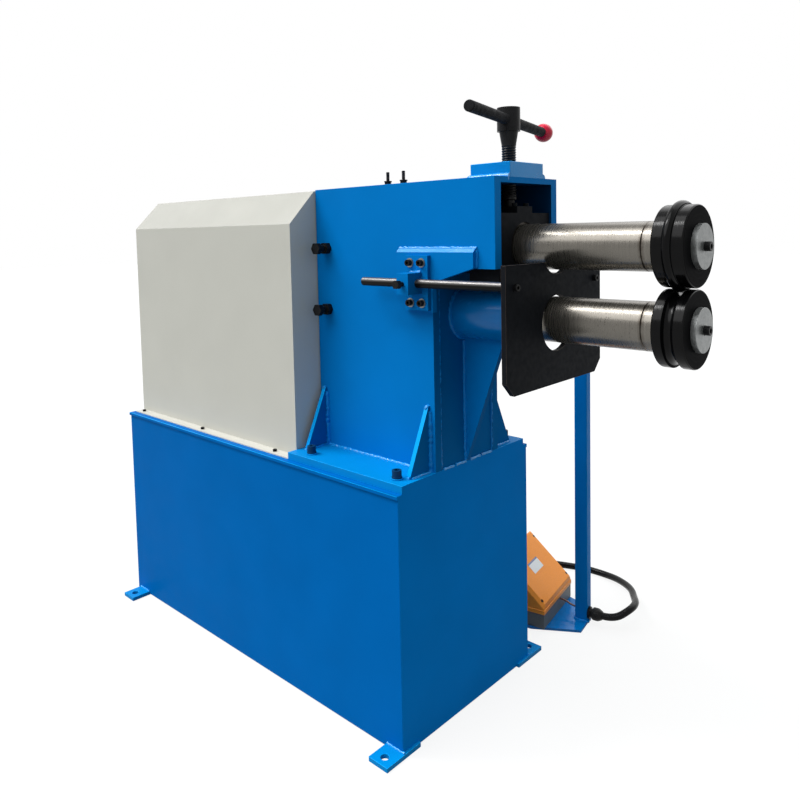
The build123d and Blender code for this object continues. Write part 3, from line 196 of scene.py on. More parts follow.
class ShotSetup(bpy.types.PropertyGroup):
    """Where the camera stands and what its lens takes in."""
    place: FloatVectorProperty(name="Place", description="Camera position",
                               default=(1.7901, -1.5215, 1.2792), subtype="TRANSLATION")
    azimuth: angle_setting("Azimuth", "Turn about the vertical", 43.73)
    pitch: angle_setting("Pitch", "Tilt down", 4.01)
    roll: angle_setting("Roll", "Turn about the line of sight", -1.28)
    lens: FloatProperty(name="Lens", description="Focal length in mm", default=32.99)
    shift_x: FloatProperty(name="Shift X", description="Lens shift sideways", default=0.02275)
    shift_y: FloatProperty(name="Shift Y", description="Lens shift upwards", default=-0.1475)


class StudioLight(bpy.types.PropertyGroup):
    """Plain soft light and the floor."""
    key: level_setting("Key", "Light on a surface that faces the lamp", 0.9)
    key_angle: angle_setting("Key softness", "Angle that the lamp fills", 62)
    key_from: direction_setting("Key from", "Direction to the lamp", (-0.27, -0.48, 0.83))
    glint: level_setting("Glint", "Light of each narrow lamp that makes highlights", 0.24)
    glint_angle: angle_setting("Glint softness", "Angle that a narrow lamp fills", 10)
    front_glint: direction_setting("Front glint from", "Direction to the first narrow lamp",
                                   (-0.43, -0.33, 0.84))
    rear_glint: direction_setting("Rear glint from", "Direction to the second narrow lamp",
                                  (-0.62, -0.27, 0.735))
    back: level_setting("Back", "Light of the soft lamp behind the machine", 0.35)
    back_from: direction_setting("Back from", "Direction to the lamp behind", (0.05, 0.69, 0.72))
    fill: level_setting("Fill", "Light from all round", 0.46)
    fill_tint: colour_setting("Fill tint", "Colour of the light from all round", (0.9, 1.0, 0.95))
    floor: level_setting("Floor", "Light that the floor gives back", 0.18, max=1)
    shade: level_setting("Shade", "Light that the floor's shadow is taken from", 0.85, max=1)
    shadow: level_setting("Shadow", "How far the floor shows a shadow", 0.15, max=1)


SETTINGS = {
    "beading_paint": PaintColours,
    "beading_metal": MetalColours,
    "beading_edge": EdgeSizes,
    "beading_weld": WeldSizes,
    "beading_thread": ThreadSizes,
    "beading_cord": CordSizes,
    "beading_shot": ShotSetup,
    "beading_light": StudioLight,
}


# Nodes of materials and geometry trees
def add_node(tree, kind, inputs=None, **settings):
    """A new node; each of its inputs takes a value, or is joined to another node's output."""
    node = tree.nodes.new(kind)
    for key, value in settings.items():
        setattr(node, key, value)
    for socket, value in (inputs or {}).items():
        if isinstance(value, bpy.types.NodeSocket):
            tree.links.new(value, node.inputs[socket])
        else:
            node.inputs[socket].default_value = value
    return node


def worked_out(tree, operation, *terms):
    """The result of a sum with values or other nodes' outputs."""
    return add_node(tree, "ShaderNodeMath", dict(enumerate(terms)), operation=operation).outputs[0]


# Finishes
def tinted(colour, factor):
    """The colour, lighter or darker by a factor."""
    return tuple(min(1.0, part * factor) for part in colour)


class Finish:
    """A principled material, with a short call for each kind of node."""

    def __init__(self, name, roughness, metallic=0.0, specular=0.5, ior=1.5):
        self.material = bpy.data.materials.new(name + "_finish")
        self.material.use_nodes = True
        self.tree = self.material.node_tree
        self.inputs = self.tree.nodes["Principled BSDF"].inputs
        self.roughness = roughness
        self.inputs["Roughness"].default_value = roughness
        self.inputs["Metallic"].default_value = metallic
        self.inputs["Specular IOR Level"].default_value = specular
        self.inputs["IOR"].default_value = ior
        coordinates = self.add("ShaderNodeTexCoord")
        self.place = coordinates.outputs["Object"]
        self.normal = coordinates.outputs["Normal"]

    def add(self, kind, inputs=None, **settings):
        """A new node of this material."""
        return add_node(self.tree, kind, inputs, **settings)

    def feed(self, socket, source):
        """Joins a node's output to a socket of the shader."""
        self.tree.links.new(source, self.inputs[socket])

    def noise(self, cells, detail=3.0, stretch=(1, 1, 1), place=None):
        """Noise with so many cells to the metre, closer along the axes where stretch is larger."""
        mapping = self.add("ShaderNodeMapping", {"Vector": place or self.place,
                                                 "Scale": [cells * share for share in stretch]})
        texture = self.add("ShaderNodeTexNoise", {"Vector": mapping.outputs["Vector"], "Scale": 1.0,
                                                  "Detail": detail})
        return texture.outputs["Fac"]

    def cells(self, scale):
        """Distance to the nearest point of a scatter with so many points to the metre."""
        return self.add("ShaderNodeTexVoronoi", {"Vector": self.place, "Scale": scale}).outputs["Distance"]

    def span(self, source, low, high, start=0.3, stop=0.7):
        """Source, read from start to stop, as a value from low to high."""
        return self.add("ShaderNodeMapRange", {"Value": source, "From Min": start, "From Max": stop,
                                               "To Min": low, "To Max": high}).outputs["Result"]

    def shades(self, source, first, last, start=0.3, stop=0.7):
        """A ramp from one colour to another."""
        node = self.add("ShaderNodeValToRGB", {"Fac": source})
        for end, position, colour in zip(node.color_ramp.elements, (start, stop), (first, last)):
            end.position = position
            end.color = (*colour, 1)
        return node.outputs["Color"]

    def tones(self, source, colour, darker, lighter):
        """A ramp that goes from darker to lighter than the colour, by these shares of it."""
        return self.shades(source, tinted(colour, 1 - darker), tinted(colour, 1 + lighter))

    def uneven_gloss(self, source, glossier=0.08, duller=0.08):
        """Lets the roughness go below and above its value with the source."""
        self.feed("Roughness", self.span(source, self.roughness - glossier, self.roughness + duller))

    def laid_over(self, amount, under, colour):
        """A colour laid over another where amount is high."""
        factor, first, second, result = 0, 6, 7, 2
        inputs = {factor: amount, first: under, second: (*colour, 1)}
        return self.add("ShaderNodeMix", inputs, data_type="RGBA").outputs[result]

    def relief(self, height, depth, under=None):
        """Bump of so many metres, on top of another bump."""
        inputs = {"Height": height, "Distance": depth}
        if under:
            inputs["Normal"] = under
        return self.add("ShaderNodeBump", inputs).outputs["Normal"]

    def ring_place(self, axis_z):
        """Coordinates of a turned piece: along its axis, and out from it."""
        parts = self.add("ShaderNodeSeparateXYZ", {"Vector": self.place}).outputs
        height = worked_out(self.tree, "SUBTRACT", parts["Z"], axis_z)
        across = self.add("ShaderNodeCombineXYZ", {"Y": parts["Y"], "Z": height})
        radius = self.add("ShaderNodeVectorMath", {"Vector": across.outputs["Vector"]}, operation="LENGTH")
        ring = self.add("ShaderNodeCombineXYZ", {"X": parts["X"], "Y": radius.outputs["Value"]})
        return ring.outputs["Vector"], parts["X"]


def painted(name, colour, roughness, ior, peel=0.00012, mottle=0.05, waviness=0.0009):
    """Sprayed paint: cloudy colour, uneven gloss and a fine orange peel."""
    clouds, sheen, waves, pores = 5, 14, 9, 260
    finish = Finish(name, roughness, ior=ior)
    finish.feed("Base Color", finish.tones(finish.noise(clouds, detail=4), colour, mottle, mottle))
    finish.uneven_gloss(finish.noise(sheen, detail=2), glossier=0.06, duller=0.07)
    wavy = finish.relief(finish.noise(waves, detail=1), waviness)
    finish.feed("Normal", finish.relief(finish.noise(pores, detail=1), peel, wavy))


def blackened(name, colour, roughness, specular, metallic=0.0, rub=0.5):
    """Black oxide or oiled iron, a little rubbed."""
    patches, sheen, grain, depth = 55, 90, 420, 0.00008
    finish = Finish(name, roughness, metallic, specular)
    finish.feed("Base Color", finish.tones(finish.noise(patches, detail=5), colour, rub / 2, rub))
    finish.uneven_gloss(finish.noise(sheen, detail=4), glossier=0.1, duller=0.12)
    finish.feed("Normal", finish.relief(finish.noise(grain, detail=2), depth))


def stained(finish, tone, along, speck, stain):
    """Groups of rust specks and a stain beside the collar groove, laid over a tone."""
    dots = finish.span(finish.cells(150), low=1, high=0, start=0.1, stop=0.22)
    groups = finish.span(finish.noise(24, detail=2), low=0, high=1, start=0.52, stop=0.62)
    tone = finish.laid_over(worked_out(finish.tree, "MULTIPLY", dots, groups), tone, speck)
    apart = worked_out(finish.tree, "ABSOLUTE", worked_out(finish.tree, "SUBTRACT", along, COLLAR_X))
    near = finish.span(apart, low=0.95, high=0, start=0.0012, stop=0.008)
    patches = finish.span(finish.noise(60, detail=4), low=0.2, high=1)
    return finish.laid_over(worked_out(finish.tree, "MULTIPLY", near, patches), tone, stain)


def turned(name, colour, axis_z, roughness, contrast, metallic=0.0, specular=0.5, ways=ALONG,
           depth=0.00006, stains=None):
    """Turned metal with fine rings round the axis; stains are the colours of specks and collar stain."""
    band_shade, touch_shade = tinted(colour, 0.75), tinted(colour, 0.6)
    finish = Finish(name, roughness, metallic, specular)
    rings_at, along = finish.ring_place(axis_z)
    rings = finish.noise(300, stretch=ways, place=rings_at)
    bands = finish.noise(60, stretch=ways, place=rings_at)
    tone = finish.tones(rings, colour, contrast, contrast)
    tone = finish.laid_over(finish.span(bands, low=0, high=0.25), tone, band_shade)
    handled = finish.span(finish.noise(16, detail=4), low=0, high=0.3, start=0.5, stop=0.75)
    tone = finish.laid_over(handled, tone, touch_shade)
    if stains:
        tone = stained(finish, tone, along, *stains)
    finish.feed("Base Color", tone)
    finish.uneven_gloss(rings, duller=0.1)
    finish.feed("Normal", finish.relief(rings, depth))


def speckled(name, colour, roughness, grain, spread, metallic=0.0, specular=0.5, depth=0.00008):
    """Plated, cast or moulded surface with a fine grain."""
    sheen, pits = grain / 3, grain * 2
    finish = Finish(name, roughness, metallic, specular)
    finish.feed("Base Color", finish.tones(finish.noise(grain, detail=4), colour, spread, spread))
    finish.uneven_gloss(finish.noise(sheen))
    finish.feed("Normal", finish.relief(finish.noise(pits, detail=2), depth))


def rod_lit_from_above(name, below, above, roughness, specular):
    """A rod with painted light: lighter and metallic where its normal points up, dark where it points down.
    """
    # Heights of the normal where the painted shade ends and where the painted highlight is full
    oiled, rubbed, sheen = 0.0, 0.8, 40
    finish = Finish(name, roughness, specular=specular)
    upward = finish.add("ShaderNodeSeparateXYZ", {"Vector": finish.normal}).outputs["Z"]
    finish.feed("Base Color", finish.shades(upward, below, above, oiled, rubbed))
    finish.feed("Metallic", finish.span(upward, 0, 1, oiled, rubbed))
    finish.uneven_gloss(finish.noise(sheen))


def finish_of(name):
    """A finish that has been mixed."""
    return bpy.data.materials[name + "_finish"]


# Meshes and objects
def merged_copy(node):
    """A copy of a CAD node with its triangles merged into whole faces."""
    same_spot, same_plane = 2e-6, math.radians(0.4)
    shape = bmesh.new()
    shape.from_mesh(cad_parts[node].data)
    bmesh.ops.remove_doubles(shape, verts=shape.verts, dist=same_spot)
    bmesh.ops.dissolve_limit(shape, angle_limit=same_plane, verts=shape.verts, edges=shape.edges)
    return shape


def linked(name, data):
    """A new object in the scene."""
    made = bpy.data.objects.new(name, data)
    bpy.context.scene.collection.objects.link(made)
    return made


def new_object(name, shape, *finishes):
    """A plain mesh object at the origin from a bmesh, smooth where its faces meet gently."""
    shape.verts.index_update()
    mesh = bpy.data.meshes.new(name)
    mesh.from_pydata([vert.co[:] for vert in shape.verts], [],
                     [[vert.index for vert in face.verts] for face in shape.faces])
    mesh.polygons.foreach_set("material_index", [face.material_index for face in shape.faces])
    shape.free()
    for finish in finishes:
        mesh.materials.append(finish_of(finish))
    mesh.shade_smooth()
    mesh.set_sharp_from_angle(angle=SHARP)
    return linked(name, mesh)


def made_plain(made):
    """Turns an object's modifiers into its mesh."""
    held = bpy.context.evaluated_depsgraph_get()
    mesh = bpy.data.meshes.new_from_object(made.evaluated_get(held))
    made.modifiers.clear()
    made.data = mesh
    return made


def rounded(made, width, spared=None, all_round=False):
    """Rounds the sharp edges of an object, apart from those whose middle passes the test.

    The new faces take the second finish, if there is one. Flat faces are shaded flat, unless the piece is
    all round.
    """
    shape = bmesh.new()
    shape.from_mesh(made.data)
    weight = shape.edges.layers.float.new("bevel_weight_edge")
    for edge in shape.edges:
        sharp = edge.is_manifold and edge.calc_face_angle() > SHARP
        kept = bool(sharp and spared and spared((edge.verts[0].co + edge.verts[1].co) / 2))
        edge[weight] = float(sharp and not kept)
        edge.smooth = not kept
    for face in shape.faces:
        face.smooth = True
    shape.to_mesh(made.data)
    shape.free()
    bevel = made.modifiers.new("Edges", "BEVEL")
    bevel.width = width
    bevel.segments = bpy.context.scene.beading_edge.steps
    bevel.limit_method = "WEIGHT"
    bevel.use_clamp_overlap = True
    bevel.harden_normals = not all_round
    bevel.material = 1
    if all_round:
        made.modifiers.new("Rounds", "WEIGHTED_NORMAL").keep_sharp = True
    return made_plain(made)


def placed(made, slot, *nodes, body=FRAME_BODY):
    """Puts a piece on its body and hides the CAD nodes it stands for; the slot is not used."""
    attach(made, body)
    if nodes:
        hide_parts(*nodes)
    return made


def softened(node, width, slot, finishes=None, choose=None, body=FRAME_BODY, dropped=None, **how):
    """A copy of a CAD node with rounded edges stands for the node.

    Choose gives the finish of a face, counted from 0. Faces whose middle is dropped are left out.
    The rest says how the edges are rounded.
    """
    shape = merged_copy(node)
    if dropped:
        gone = [face for face in shape.faces if dropped(face.calc_center_median())]
        bmesh.ops.delete(shape, geom=gone, context="FACES")
    made = rounded(new_object(node + "_finished", shape, *(finishes or [slot])), width, **how)
    if choose:
        for face in made.data.polygons:
            face.material_index = int(choose(face))
    return placed(made, slot, node, body=body)


def on_edge(face):
    """The second finish for rounded edges."""
    return face.material_index == 1


def lit_edges(face):
    """The second finish for rounded edges that face up."""
    return on_edge(face) and face.normal.z > LIT


def front_and_lit_edges(face):
    """The third finish for the front, the second for rounded edges that face up."""
    return 2 if face.normal.x > FACING else lit_edges(face)


def dressed(finish, *nodes):
    """CAD nodes whose shape is right take their finish."""
    for node in nodes:
        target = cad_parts[node]
        target.data.materials.clear()
        target.data.materials.append(finish_of(finish))


def lathe(shape, rows, around, centre=(0, 0, 0)):
    """Adds a body turned about Z to a bmesh, from rows of (height, radius, thread depth, thread pitch)."""
    rings = []
    for height, radius, depth, pitch in rows:
        ring = []
        for step in range(around):
            angle = TURN * step / around
            wave = abs(2 * ((height / pitch - step / around) % 1.0) - 1) if depth else 0.0
            reach = radius - depth * wave
            spot = Vector((reach * math.cos(angle), reach * math.sin(angle), height))
            ring.append(shape.verts.new(spot + Vector(centre)))
        rings.append(ring)
    for low, high in zip(rings, rings[1:]):
        for step in range(around):
            after = (step + 1) % around
            shape.faces.new((low[step], low[after], high[after], high[step]))
    shape.faces.new(list(reversed(rings[0])))
    shape.faces.new(rings[-1])


def plain_rows(*stations):
    """Rows of a plain turned length, from (height, radius) pairs."""
    return [(height, radius, 0, 1) for height, radius in stations]


def thread_rows(start, stop, radius, depth, pitch, per_turn=6, run_out=12):
    """Rows of a threaded length whose thread runs out over one part in run_out at both ends."""
    count = max(2, round((stop - start) / pitch * per_turn))
    rows = []
    for index in range(count + 1):
        share = index / count
        fade = min(1.0, run_out * share, run_out * (1 - share))
        rows.append((start + (stop - start) * share, radius, depth * fade, pitch))
    return rows


# Geometry node trees
def new_tree(name, **sockets):
    """An empty geometry tree with named inputs; returns it with its inputs."""
    tree = bpy.data.node_groups.new(name, "GeometryNodeTree")
    tree.interface.new_socket("Geometry", in_out="INPUT", socket_type="NodeSocketGeometry")
    for label, kind in sockets.items():
        tree.interface.new_socket(label, in_out="INPUT", socket_type="NodeSocket" + kind)
    tree.interface.new_socket("Geometry", in_out="OUTPUT", socket_type="NodeSocketGeometry")
    return tree, tree.nodes.new("NodeGroupInput").outputs


def finished_tree(tree, geometry, material):
    """Ends a tree: smooth shading, real meshes, finish."""
    smooth = add_node(tree, "GeometryNodeSetShadeSmooth", {"Geometry": geometry})
    whole = add_node(tree, "GeometryNodeRealizeInstances", {"Geometry": smooth.outputs["Geometry"]})
    finish = add_node(tree, "GeometryNodeSetMaterial", {"Geometry": whole.outputs["Geometry"],
                                                        "Material": material})
    add_node(tree, "NodeGroupOutput", {"Geometry": finish.outputs["Geometry"]})
    return tree


def attribute(tree, name, kind):
    """A value that each vertex of the tree's mesh carries."""
    node = add_node(tree, "GeometryNodeInputNamedAttribute", {"Name": name}, data_type=kind)
    return node.outputs["Attribute"]


def round_section(tree, radius):
    """The outline of a round wire or bead."""
    section = add_node(tree, "GeometryNodeCurvePrimitiveCircle", {"Resolution": 10, "Radius": radius},
                       mode="RADIUS")
    return section.outputs["Curve"]


def weld_tree():
    """Weld bead along the edges of a mesh; the bead attribute of each vertex is its radius."""
    tree, given = new_tree("Weld bead along seams", Step="Float", Ripple="Float", Seed="Int",
                           Finish="Material")
    curve = add_node(tree, "GeometryNodeMeshToCurve", {"Mesh": given["Geometry"]})
    steps = add_node(tree, "GeometryNodeResampleCurve", {
        "Curve": curve.outputs["Curve"], "Length": given["Step"]}, mode="LENGTH")
    least, most, lowest, highest = 2, 3, 0, 1
    swell = add_node(tree, "FunctionNodeRandomValue", {
        least: worked_out(tree, "SUBTRACT", 1.0, given["Ripple"]),
        most: worked_out(tree, "ADD", 1.0, given["Ripple"]), "Seed": given["Seed"]}, data_type="FLOAT")
    size = worked_out(tree, "MULTIPLY", attribute(tree, "bead", "FLOAT"), swell.outputs[1])
    drift = add_node(tree, "FunctionNodeRandomValue", {
        lowest: (-1, -1, -1), highest: (1, 1, 1), "Seed": given["Seed"]}, data_type="FLOAT_VECTOR")
    shift = add_node(tree, "ShaderNodeVectorMath", {
        0: drift.outputs[0], "Scale": worked_out(tree, "MULTIPLY", size, given["Ripple"])},
        operation="SCALE")
    lumps = add_node(tree, "GeometryNodeSetPosition", {"Geometry": steps.outputs["Curve"],
                                                       "Offset": shift.outputs[0]})
    sweep = add_node(tree, "GeometryNodeCurveToMesh", {
        "Curve": lumps.outputs["Geometry"], "Profile Curve": round_section(tree, 1.0), "Scale": size,
        "Fill Caps": True})
    return finished_tree(tree, sweep.outputs["Mesh"], given["Finish"])


def scatter_tree():
    """A small part on every vertex of a mesh, its top along the out attribute and its X axis along side."""
    tree, given = new_tree("Parts on points", Part="Object", Finish="Material")
    part = add_node(tree, "GeometryNodeObjectInfo", {"Object": given["Part"]}, transform_space="ORIGINAL")
    top = add_node(tree, "FunctionNodeAlignRotationToVector", {
        "Vector": attribute(tree, "out", "FLOAT_VECTOR")}, axis="Z", pivot_axis="AUTO")
    turn = add_node(tree, "FunctionNodeAlignRotationToVector", {
        "Rotation": top.outputs["Rotation"], "Vector": attribute(tree, "side", "FLOAT_VECTOR")},
        axis="X", pivot_axis="Z")
    spots = add_node(tree, "GeometryNodeInstanceOnPoints", {
        "Points": given["Geometry"], "Instance": part.outputs["Geometry"],
        "Rotation": turn.outputs["Rotation"]})
    return finished_tree(tree, spots.outputs["Instances"], given["Finish"])


def coil_tree():
    """A round wire wound into a spring, standing on the place that it is given."""
    tree, given = new_tree("Coil spring", Turns="Float", Radius="Float", Height="Float", Wire="Float",
                           Place="Vector", Finish="Material")
    coil = add_node(tree, "GeometryNodeCurveSpiral", {
        "Resolution": 28, "Rotations": given["Turns"], "Start Radius": given["Radius"],
        "End Radius": given["Radius"], "Height": given["Height"]})
    sweep = add_node(tree, "GeometryNodeCurveToMesh", {
        "Curve": coil.outputs["Curve"], "Profile Curve": round_section(tree, given["Wire"]),
        "Fill Caps": True})
    move = add_node(tree, "GeometryNodeTransform", {"Geometry": sweep.outputs["Mesh"],
                                                    "Translation": given["Place"]})
    return finished_tree(tree, move.outputs["Geometry"], given["Finish"])


def grown(name, mesh, tree, finish, **values):
    """A mesh object made by a geometry tree, as a plain mesh."""
    values["Finish"] = finish_of(finish)
    made = linked(name, mesh)
    modifier = made.modifiers.new(tree.name, "NODES")
    modifier.node_group = tree
    for item in tree.interface.items_tree:
        if item.in_out == "INPUT" and item.name in values:
            modifier[item.identifier] = values[item.name]
    return made_plain(made)


def seam_mesh(name, seams):
    """Edges along the seams, each a (radius, points) pair, with the bead radius on every vertex."""
    spots, edges, beads = [], [], []
    for radius, points in seams:
        first = len(spots)
        spots.extend(points)
        beads.extend([radius] * len(points))
        edges.extend((first + step, first + step + 1) for step in range(len(points) - 1))
    mesh = bpy.data.meshes.new(name)
    mesh.from_pydata([tuple(spot) for spot in spots], edges, [])
    mesh.attributes.new("bead", "FLOAT", "POINT").data.foreach_set("value", beads)
    return mesh


def scattered(name, shape, finish, places):
    """A piece of copies of a small shape, its top along Z, at each (spot, out, side) place."""
    part = new_object(name + "_part", shape)
    mesh = bpy.data.meshes.new(name)
    mesh.from_pydata([tuple(spot) for spot, out, side in places], [], [])
    for index, label in ((1, "out"), (2, "side")):
        ways = [value for place in places for value in place[index]]
        mesh.attributes.new(label, "FLOAT_VECTOR", "POINT").data.foreach_set("vector", ways)
    made = grown(name, mesh, scatter_tree(), finish, Part=part)
    bpy.data.objects.remove(part)
    return placed(made, finish)


def socket_head(radius, height):
    """A round screw head with a socket."""
    shoulder, floor = height * 0.7, height * 0.4
    crown_r, socket_r = radius * 0.86, radius * 0.5
    shape = bmesh.new()
    lathe(shape, plain_rows((0, radius), (shoulder, radius), (height, crown_r), (height, socket_r),
                            (floor, socket_r)), around=12)
    return shape


# Places
def on_stand(along, across, height):
    """A point of the foot switch's own frame, in mm, as a place in the machine's frame, in metres."""
    stand_x, stand_y, turn = 685.9, 505.7, math.radians(10)
    return Vector(in_metres(stand_x + along * math.cos(turn) - across * math.sin(turn),
                            stand_y + along * math.sin(turn) + across * math.cos(turn), height))


def flush_front(spot):
    """The seam of the base plate and the cabinet in front, where both are ground flush."""
    low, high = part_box("body_base_plate")
    return abs(spot.x - high.x) < TOUCH and abs(spot.z - low.z) < TOUCH


def flush_arm(spot):
    """The seams of the arm's plates and the nut block in front and on top, which are ground flush."""
    low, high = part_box("arm_top_plate")
    at_top = abs(spot.z - high.z) < TOUCH
    in_front = abs(spot.x - high.x) < TOUCH and low.z - TOUCH < spot.z < high.z + TOUCH
    behind = at_top and spot.x < high.x - TOUCH
    between = high.y - TOUCH < abs(spot.y) < high.y + TOUCH
    return (between and (in_front or behind)) or (in_front and at_top and abs(spot.y) < high.y)


# Operators
class PieceOperator:
    """What all the operators here share."""
    bl_options = {"REGISTER"}


class BEADING_OT_finishes(PieceOperator, bpy.types.Operator):
    """Mix the paints, metals and plastics"""
    bl_idname = "beading.finishes"
    bl_label = "Finishes"

    def execute(self, context):
        self.paints(context.scene.beading_paint)
        self.metals(context.scene.beading_metal)
        self.plastics(context.scene.beading_paint, context.scene.beading_metal)
        return {"FINISHED"}

    def paints(self, paint):
        """Blues of the machine, greys of the cover, the drive and the foot switch."""
        painted("machine_blue", paint.machine, roughness=0.4, ior=1.1)
        # Painted light: a lighter copy of the machine blue for faces that catch more light
        painted("plate_blue", paint.plate, roughness=0.42, ior=1.14)
        painted("cabinet_blue", paint.cabinet, roughness=0.4, ior=1.06)
        # Painted light on the fronts toward +X
        painted("front_blue", paint.front, roughness=0.4, ior=1.06)
        # Painted shade inside the arm, and below it a darker copy of the machine blue as painted shade
        painted("inner_blue", paint.inside, roughness=0.5, ior=1.06)
        painted("shade_blue", tinted(paint.machine, 0.66), roughness=0.4, ior=1.06)
        painted("boss_blue", paint.machine, roughness=0.24, ior=1.33)
        # Painted highlight on edges that face up
        painted("edge_blue", paint.edge, roughness=0.35, ior=1.2)
        # Painted light and sheen: the nut block's front is lighter still than the plate's blue
        painted("nut_blue", tinted(paint.plate, 1.15), roughness=0.3, ior=1.42, peel=0.0003)
        painted("sole_blue", paint.machine, roughness=0.12, ior=1.25, waviness=0.005)
        # Painted highlight on the beads that face up
        painted("weld_blue", paint.weld, roughness=0.22, ior=1.45, peel=0.0002)
        # A weak painted highlight on the beads in the shade
        painted("seam_highlight_blue", tinted(paint.machine, 1.1), roughness=0.24, ior=1.2, peel=0.0002)
        painted("bolt_blue", paint.bolt, roughness=0.35, ior=1.17)
        painted("cover_grey", tinted(paint.cover, 1.06), roughness=0.4, ior=1.25, mottle=0.02)
        # Painted shade: a darker grey on the cover's slope
        painted("cover_slope", tinted(paint.cover, 0.82), roughness=0.2, ior=1.42, mottle=0.02,
                waviness=0.003)
        # Painted highlight: a lighter grey on the cover's rounded edges
        painted("cover_edge", tinted(paint.cover, 1.5), roughness=0.35, ior=1.3, mottle=0.02)
        painted("drive_grey", paint.drive, roughness=0.45, ior=1.35)
        painted("pedal_grey", paint.pedal, roughness=0.5, ior=1.3, peel=0.0002)

    def metals(self, metal):
        """Blackened, turned and plated metals, and the gauge rods with painted light."""
        blackened("black_oxide", metal.oxide, roughness=0.3, specular=0.12)
        blackened("dark_iron", metal.iron, roughness=0.5, specular=0.03, rub=0.2)
        blackened("worn_iron", metal.worn, roughness=0.45, specular=0.2, metallic=0.3)
        blackened("bar_black", tinted(metal.oxide, 3.2), roughness=0.6, specular=0.02)
        blackened("screw_black", tinted(metal.oxide, 1.6), roughness=0.34, specular=0.12)
        for side in ("lower", "upper"):
            low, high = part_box(side + "_shaft")
            axis = (low.z + high.z) / 2
            turned("turned_steel_" + side, metal.shaft, axis, roughness=0.26, contrast=0.13, metallic=0.85,
                   stains=(metal.speck, metal.stain))
            turned("roller_black_" + side, tinted(metal.roller, 0.5), axis, roughness=0.15, contrast=0.3,
                   specular=0.1, depth=0.00025)
            turned("roller_face_" + side, metal.roller, axis, roughness=0.42, contrast=0.3, specular=0.006,
                   ways=ACROSS)
        # Painted light: the gauge rods are lighter above and darker below
        rod_lit_from_above("rod_steel", metal.rod, metal.rod_top, roughness=0.36, specular=0.08)
        speckled("dull_steel", metal.dull, roughness=0.32, grain=120, spread=0.2, metallic=0.85)
        speckled("zinc_plate", metal.zinc, roughness=0.36, grain=240, spread=0.16, metallic=0.75)
        # Painted shade on the recessed bushes
        speckled("bronze", metal.bronze, roughness=0.4, grain=140, spread=0.15, metallic=0.5)

    def plastics(self, paint, metal):
        """Moulded pieces, cords, the red ball and the blank plate."""
        speckled("box_grey", paint.box, roughness=0.5, grain=500, spread=0.05)
        speckled("hood_orange", paint.hood, roughness=0.42, grain=420, spread=0.09, specular=0.2,
                 depth=0.0002)
        speckled("black_plastic", metal.oxide, roughness=0.3, grain=400, spread=0.2, specular=0.14)
        speckled("cable_black", tinted(metal.oxide, 0.6), roughness=0.26, grain=260, spread=0.25,
                 specular=0.12, depth=0.00004)
        speckled("lead_brown", paint.lead, roughness=0.45, grain=300, spread=0.15)
        speckled("ball_red", paint.ball, roughness=0.16, grain=90, spread=0.06, specular=0.25, depth=0.00001)
        speckled("plate_white", paint.plate_face, roughness=0.4, grain=200, spread=0.02)
        speckled("plate_band", paint.plate_band, roughness=0.4, grain=200, spread=0.05)


class BEADING_OT_cords(PieceOperator, bpy.types.Operator):
    """Lay the cable from the post to the cabinet and the thin lead of the foot switch"""
    bl_idname = "beading.cords"
    bl_label = "Cables"

    def execute(self, context):
        size = context.scene.beading_cord
        route = [on_stand(*POST_GLAND), on_stand(83, 75, 33)]
        route += [Vector(in_metres(*spot)) for spot in (
            (790.5, 631, 62), (782.5, 689.5, 57), (751, 743, 45), (712.5, 806, 39), (639.5, 863.5, 26),
            (567, 895.5, 12), (494.5, 891.5, 12), (428.5, 868, 12), (360.5, 838, 12), (310.5, 772, 12),
            (288.5, 690, 12), (279.5, 600, 12), (275, 510, 12.5), (276, 430, 25), (276.5, 371, 45),
            WALL_GLAND)]
        self.lay("control_cable_sheath", route, size.cable_d, size.cable_length, "cable_black",
                 "control_cable")
        lead = [on_stand(-101, 93, 44), on_stand(-84, 93, 44), on_stand(-57, 80, 39), on_stand(-40, 80, 39)]
        self.lay("pedal_lead_sheath", lead, size.lead_d, size.lead_length, "lead_brown", "pedal_lead")
        return {"FINISHED"}

    def lay(self, name, route, diameter, length, slot, node):
        """One smooth cord through the route's points."""
        line = bpy.data.curves.new(name, "CURVE")
        line.dimensions = "3D"
        line.bevel_depth = diameter / 2
        line.bevel_resolution = 5
        line.resolution_u = 16
        line.use_fill_caps = True
        spline = line.splines.new("NURBS")
        spline.points.add(len(route) - 1)
        for point, spot in zip(spline.points, route):
            point.co = (*spot, 1)
        spline.order_u = 3
        spline.use_endpoint_u = True
        line.materials.append(finish_of(slot))
        made = placed(linked(name, line), slot, node)


class BEADING_OT_cabinet(PieceOperator, bpy.types.Operator):
    """Finish the cabinet, its floor tabs and its access panel"""
    bl_idname = "beading.cabinet"
    bl_label = "Cabinet"

    def execute(self, context):
        edge = context.scene.beading_edge
        # The cabinet's front and the floor tabs take painted light, and edges that face up a painted
        # highlight
        softened("cabinet_shell", edge.plate, "machine_blue", ["cabinet_blue", "edge_blue", "front_blue"],
                 front_and_lit_edges, spared=flush_front)
        softened("foot_tabs", edge.plate, "machine_blue", ["plate_blue", "edge_blue"], lit_edges)
        softened("access_panel", edge.sheet, "machine_blue", ["cabinet_blue"])
        dressed("box_grey", "control_panel")
        self.panel_screws()
        return {"FINISHED"}

    def panel_screws(self):
        """Screws along the upper and the lower edge of the access panel."""
        low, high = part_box("access_panel")
        margin, head_r, head_height = in_metres(12, 5.2, 3.2)
        gaps = 3
        places = []
        for step in range(gaps + 1):
            x = low.x + margin + (high.x - low.x - 2 * margin) * step / gaps
            for z in (low.z + margin, high.z - margin):
                places.append((Vector((x, high.y, z)), ACROSS, ALONG))
        scattered("access_panel_screws", socket_head(head_r, head_height), "zinc_plate", places)


